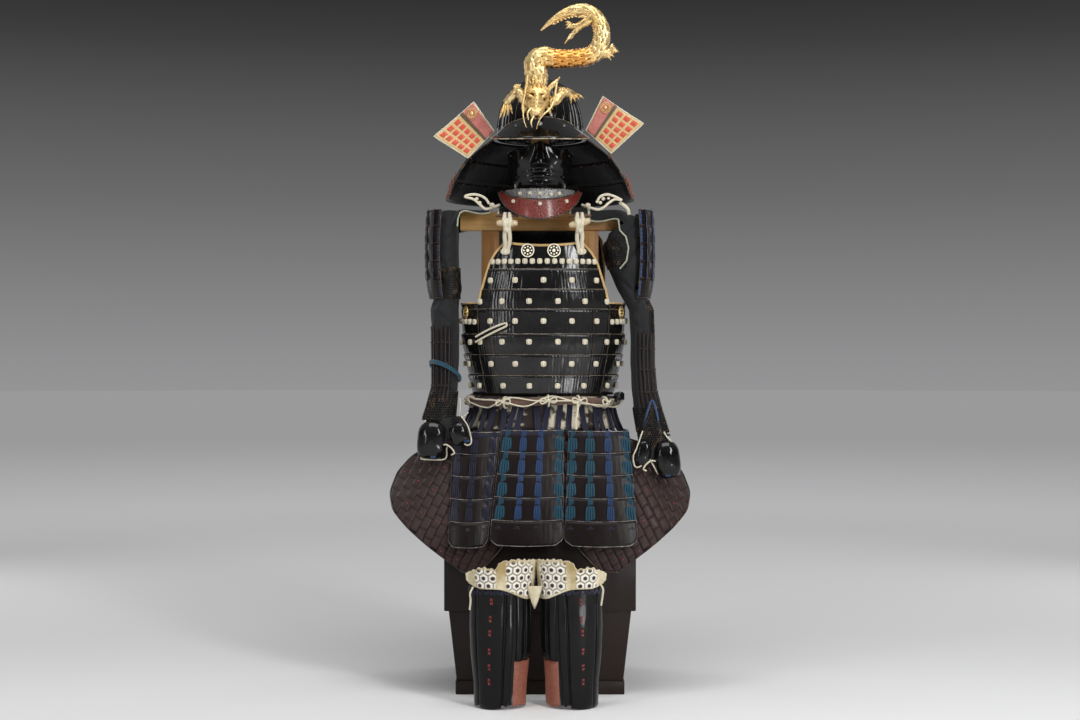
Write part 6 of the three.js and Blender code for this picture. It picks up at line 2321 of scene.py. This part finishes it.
places = [Matrix.Translation(hand_point("hand_plate_L", -1.35, 0.8, 2)),
          Matrix.Translation(hand_point("hand_plate_R", -1.7, 0.8, 2)),
          Matrix.Translation(hand_point("thumb_plate_L", -1.0, 0.8, 2))]
tile_shape(lace_shape(13, 7, 3), places, "hand_tabs", BLUE_CORD, "armour", "belt_cloth")
for side, sign, x, y, z in (("L", -1, -222, -170, 566), ("R", 1, 262, -180, 530)):
    route = [(x, y, z), (x - sign * 10, y - 8, z + 1), (x - sign * 22, y - 10, z - 8),
             (x - sign * 27, y - 8, z - 18), (x - sign * 20, y - 4, z - 22)]
    free_cord(f"finger_loop_{side}", route, 3.6, CREAM_CORD, "pale_cloth", steps=30)

# %% [markdown]
# ## Shin guards
# Iron strips bent to the calf stand on the ground. The broad strips in front carry a row of red ties.
# The inner ones stop short above a patch of leather, where a stirrup would rub. Above the guards
# stand padded knee pieces, quilted over small six-sided plates, each with its dark tie.

# %% Shin plates
SHIN_ROWS = [(336, 148, 128), (262, 132, 112), (230, 131, 110), (180, 134, 114), (130, 130, 112),
             (60, 116, 104), (0, 112, 106)]
SHINS = {"L": (-1, -87), "R": (1, 70)}
SHIN_Y = -312
SHIN_STRIPS = [(1.50, 2.0, 0, 3, 0.8), (0.92, 1.46, 0, 2, 1.4), (-0.17, 0.88, 0, 5, 1.7),
               (-0.49, -0.23, 0, 13, 1.9), (-0.90, -0.56, 104, 6, 1.9), (-1.30, -0.98, 104, 9, 1.6),
               (-1.98, -1.38, 104, 4, 1.2)]


def shin_point(side, turn, z, proud=0.0):
    width, depth = row_at(SHIN_ROWS, z)
    sign, x = SHINS[side]
    return Vector((x + sign * (width / 2 + proud) * math.sin(turn),
                   SHIN_Y - (depth / 2 + proud) * math.cos(turn), z))


for side, (sign, x) in SHINS.items():
    bm = new_shape()
    for start, stop, foot, lift, dome in SHIN_STRIPS:
        def strip(u, v):
            turn = blend(start, stop, u if sign > 0 else 1 - u)
            bottom = foot + lift * (0.35 + 0.65 * (2 * u - 1) ** 2) + 3 * (1 + math.sin(start * 9)) * u
            z = blend(bottom, 262 - 4 * (2 * u - 1) ** 2, v)
            swing = 0.13 * (1 - v) * smooth((0.95 - turn) * 4) if foot == 0 else 0
            waist = 0.5 * math.sin(v * 9 + start * 5)
            return shin_point(side, turn + swing, z, dome * (1 + math.sin(math.pi * u) ** 0.5) + waist)

        add_grid(bm, 10, 28, strip, size=((stop - start) * 0.06, 0.26))
    finish_shape(bm, f"shin_strips_{side}", SHIN_LACQUER, "armour", "plates", [f"shin_guard_{side}"],
                 solid=2.0, crease=50)
    bm = new_shape()

    def backing(u, v):
        turn = blend(-2.0, 2.0, u if sign > 0 else 1 - u)
        low = 107 if turn < -0.49 else 9
        return shin_point(side, turn, blend(low, 258, v), -0.4)

    add_grid(bm, 60, 20, backing, size=(0.25, 0.25))
    finish_shape(bm, f"shin_backing_{side}", STRAP_CLOTH, "armour", "lacquer", solid=0.8)
    bm = new_shape()
    add_grid(bm, 24, 16, lambda u, v: shin_point(
        side, blend(-1.7, -0.51, u if sign > 0 else 1 - u),
        blend(6 + 2 * math.sin(u * 7), 104, v), 0.4 + 0.7 * math.sin(u * 5 + v * 4)), size=(0.08, 0.1))
    finish_shape(bm, f"shin_hide_{side}", SHIN_LEATHER, "armour", "red_leather",
                 [f"shin_leather_{side}"], solid=2.4)
    knots = [seat_on(shin_point, side, 0.27 + 0.12 * (k / 5),
                     236 - k * 35.5 + 3 * math.sin(k * 4) + off, 3.9, spin=0.3 * math.sin(k * 5))
             for k in range(6) for off in (-4.0, 4.0)]
    tile_shape(cross_shape(5.0), knots, f"shin_knots_{side}", RED_CORD, "armour", "red_leather", seed=4)
    band = [seat_on(shin_point, side, blend(-1.9, 1.9, (k + 0.5) / 34), 256, 3.6,
                    spin=0.5 * (-1) ** k) for k in range(34)]
    tile_shape(lace_shape(7, 13, 2), band, f"shin_top_lacing_{side}", NAVY_CORD, "armour", "belt_cloth")

# %% Knee cloth
HEX_PITCH = 19.5
KNEE_FROM, KNEE_TO = -1.75, 1.75


def hex_distance(x, y):
    """How far a place is from its cell's middle, from 0 to 0.5 at the edge, on a six-sided grid."""
    tall = math.sqrt(3)
    best = 1.0
    for shift in (0, 0.5):
        cx = (x - shift) % 1 - 0.5
        cy = (y - shift * tall) % tall - tall / 2
        best = min(best, max(abs(cx), abs(cx) / 2 + abs(cy) * tall / 2))
    return best


def knee_top(turn):
    frayed = 1.0 * math.sin(turn * 31) + 0.7 * math.sin(turn * 57 + 1)
    inner = 17 * smooth((0.12 - turn) * 6) + 4 * hill(turn, -0.5, 0.3) - 8 * hill(turn, -1.7, 0.3)
    end = min(max((turn - 0.65) / 0.95, 0.0), 1.0)
    return 306 + inner + 3 * hill(turn, 0.5, 0.2) - 19 * end + 1.6 * frayed


def knee_foot(turn):
    end = min(max((turn - 0.65) / 0.95, 0.0), 1.0)
    return 263 - 24 * smooth((0.1 - turn) * 0.9) + 18 * end


def knee_panel(along):
    """1 inside a quilted panel and 0 on the plain bands between panels and along the edges."""
    inside = 0.0
    for start, stop in ((0.02, 0.12), (0.16, 0.46), (0.52, 0.735)):
        inside = max(inside, smooth((along - start) * 40) * smooth((stop - along) * 40))
    return inside


def wrapped(value, span):
    return value.maths("FLOORED_MODULO", value, span)


paint = Finish("knee_cloth")
u, v = paint.part(paint.flat, "X"), paint.part(paint.flat, "Y")
wobble = paint.noise(26, 2) * 0.16 - 0.08
across, up = u * (1000 / HEX_PITCH) + wobble, v * (1000 / HEX_PITCH) + wobble
tall = math.sqrt(3)
cells = []
for shift in (0, 0.5):
    cx = wrapped(across - shift, 1.0) - 0.5
    cy = wrapped(up - shift * tall, tall) - tall / 2
    cells.append(paint.node("ShaderNodeMath", {0: cx.size(), 1: cx.size() * 0.5 + cy.size() * (tall / 2)},
                            operation="MAXIMUM"))
ring = paint.node("ShaderNodeMath", {0: cells[0], 1: cells[1]}, operation="MINIMUM")
panel = paint.attribute("relief")
line = (1 - (ring - 0.475).size() * 26).above(0.5, 0.4)
dot = 1 - ring.above(0.215, 0.025)
cotton = paint.noise(700, 3, 0.6)
age = paint.noise(14, 4, 0.6)
cream = paint.mix(age.above(0.5, 0.2), tint(168, 146, 98), tint(236, 226, 192))
white = paint.mix(cotton * 0.5, tint(246, 244, 236), tint(214, 206, 188))
quilt = paint.mix(ring.above(0.40, 0.06) * 0.6, white, cream)
quilt = paint.mix(line * 0.9, quilt, tint(54, 44, 40))
quilt = paint.mix(dot, quilt, tint(62, 48, 46))
KNEE_CLOTH = paint.done(
    Base_Color=paint.mix(panel, cream, quilt), Roughness=0.86,
    Normal=paint.bump(cotton, 0.4, 0.0006), Sheen_Weight=0.2)

for side, (sign, x) in SHINS.items():
    bm = new_shape()

    def front(u, v):
        share = u if sign > 0 else 1 - u
        turn = blend(KNEE_FROM, KNEE_TO, share)
        z = blend(knee_foot(turn), knee_top(turn), v)
        inside = knee_panel(share) * smooth(v * 9) * smooth((1 - v) * 8)
        ring = hex_distance(u * 241.5 / HEX_PITCH, z / HEX_PITCH)
        puff = inside * 2.2 * smooth((0.5 - ring) * 4) - 0.8 * inside * smooth((0.16 - ring) * 12)
        seam = 1.6 * (1 - knee_panel(share)) * math.sin(share * 40) ** 2
        return shin_point(side, turn, z, 6.5 + puff + seam)

    def quilting(u, v):
        share = u if sign > 0 else 1 - u
        return knee_panel(share) * smooth(v * 9) * smooth((1 - v) * 8)

    add_grid(bm, 138, 38, front, size=(0.2415, 0.076), relief=quilting)
    upright = bm.loops.layers.uv.active
    for face in bm.faces:
        for loop in face.loops:
            loop[upright].uv.y = loop.vert.co.z * MM
    knee = finish_shape(bm, f"knee_quilt_{side}", KNEE_CLOTH, "armour", "pale_cloth",
                        [f"knee_cloth_{side}"], solid=5.0, crease=80)
    bm = new_shape()
    for k in range(2):
        add_tube(bm, [shin_point(side, a, knee_top(a) - 1 - 3.5 * k, 4.6 - 1.6 * k)
                      for a in np.linspace(KNEE_FROM, KNEE_TO, 90)], 2.2, 6)
    finish_shape(bm, f"knee_binding_{side}", PALE_CLOTH, "armour", "pale_cloth", closed=True)
point = new_shape()
add_grid(point, 8, 16, lambda u, v: Vector((-12 + (u - 0.5) * 34 * v ** 0.7, -352 - 4 * math.sin(u * 3),
                                            blend(219, 268, v))), size=(0.02, 0.05))
finish_shape(point, "knee_point", PALE_CLOTH, "armour", "pale_cloth", solid=2)
free_cord("knee_tie_L", [(-146, -352, 266), (-152, -356, 252), (-151, -354, 238), (-153, -352, 216)], 4.2,
          CREAM_CORD, "pale_cloth", steps=24)
free_cord("knee_tie_R", [(130, -352, 274), (137, -357, 262), (136, -355, 246), (133, -352, 226)], 4.2,
          CREAM_CORD, "pale_cloth", steps=24)

# %% Size and finish
low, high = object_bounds()
{"cad": [list(p) for p in CAD_BOX], "visual": [list(low), list(high)]}
print("visual box:", [round(c, 3) for c in low], [round(c, 3) for c in high])
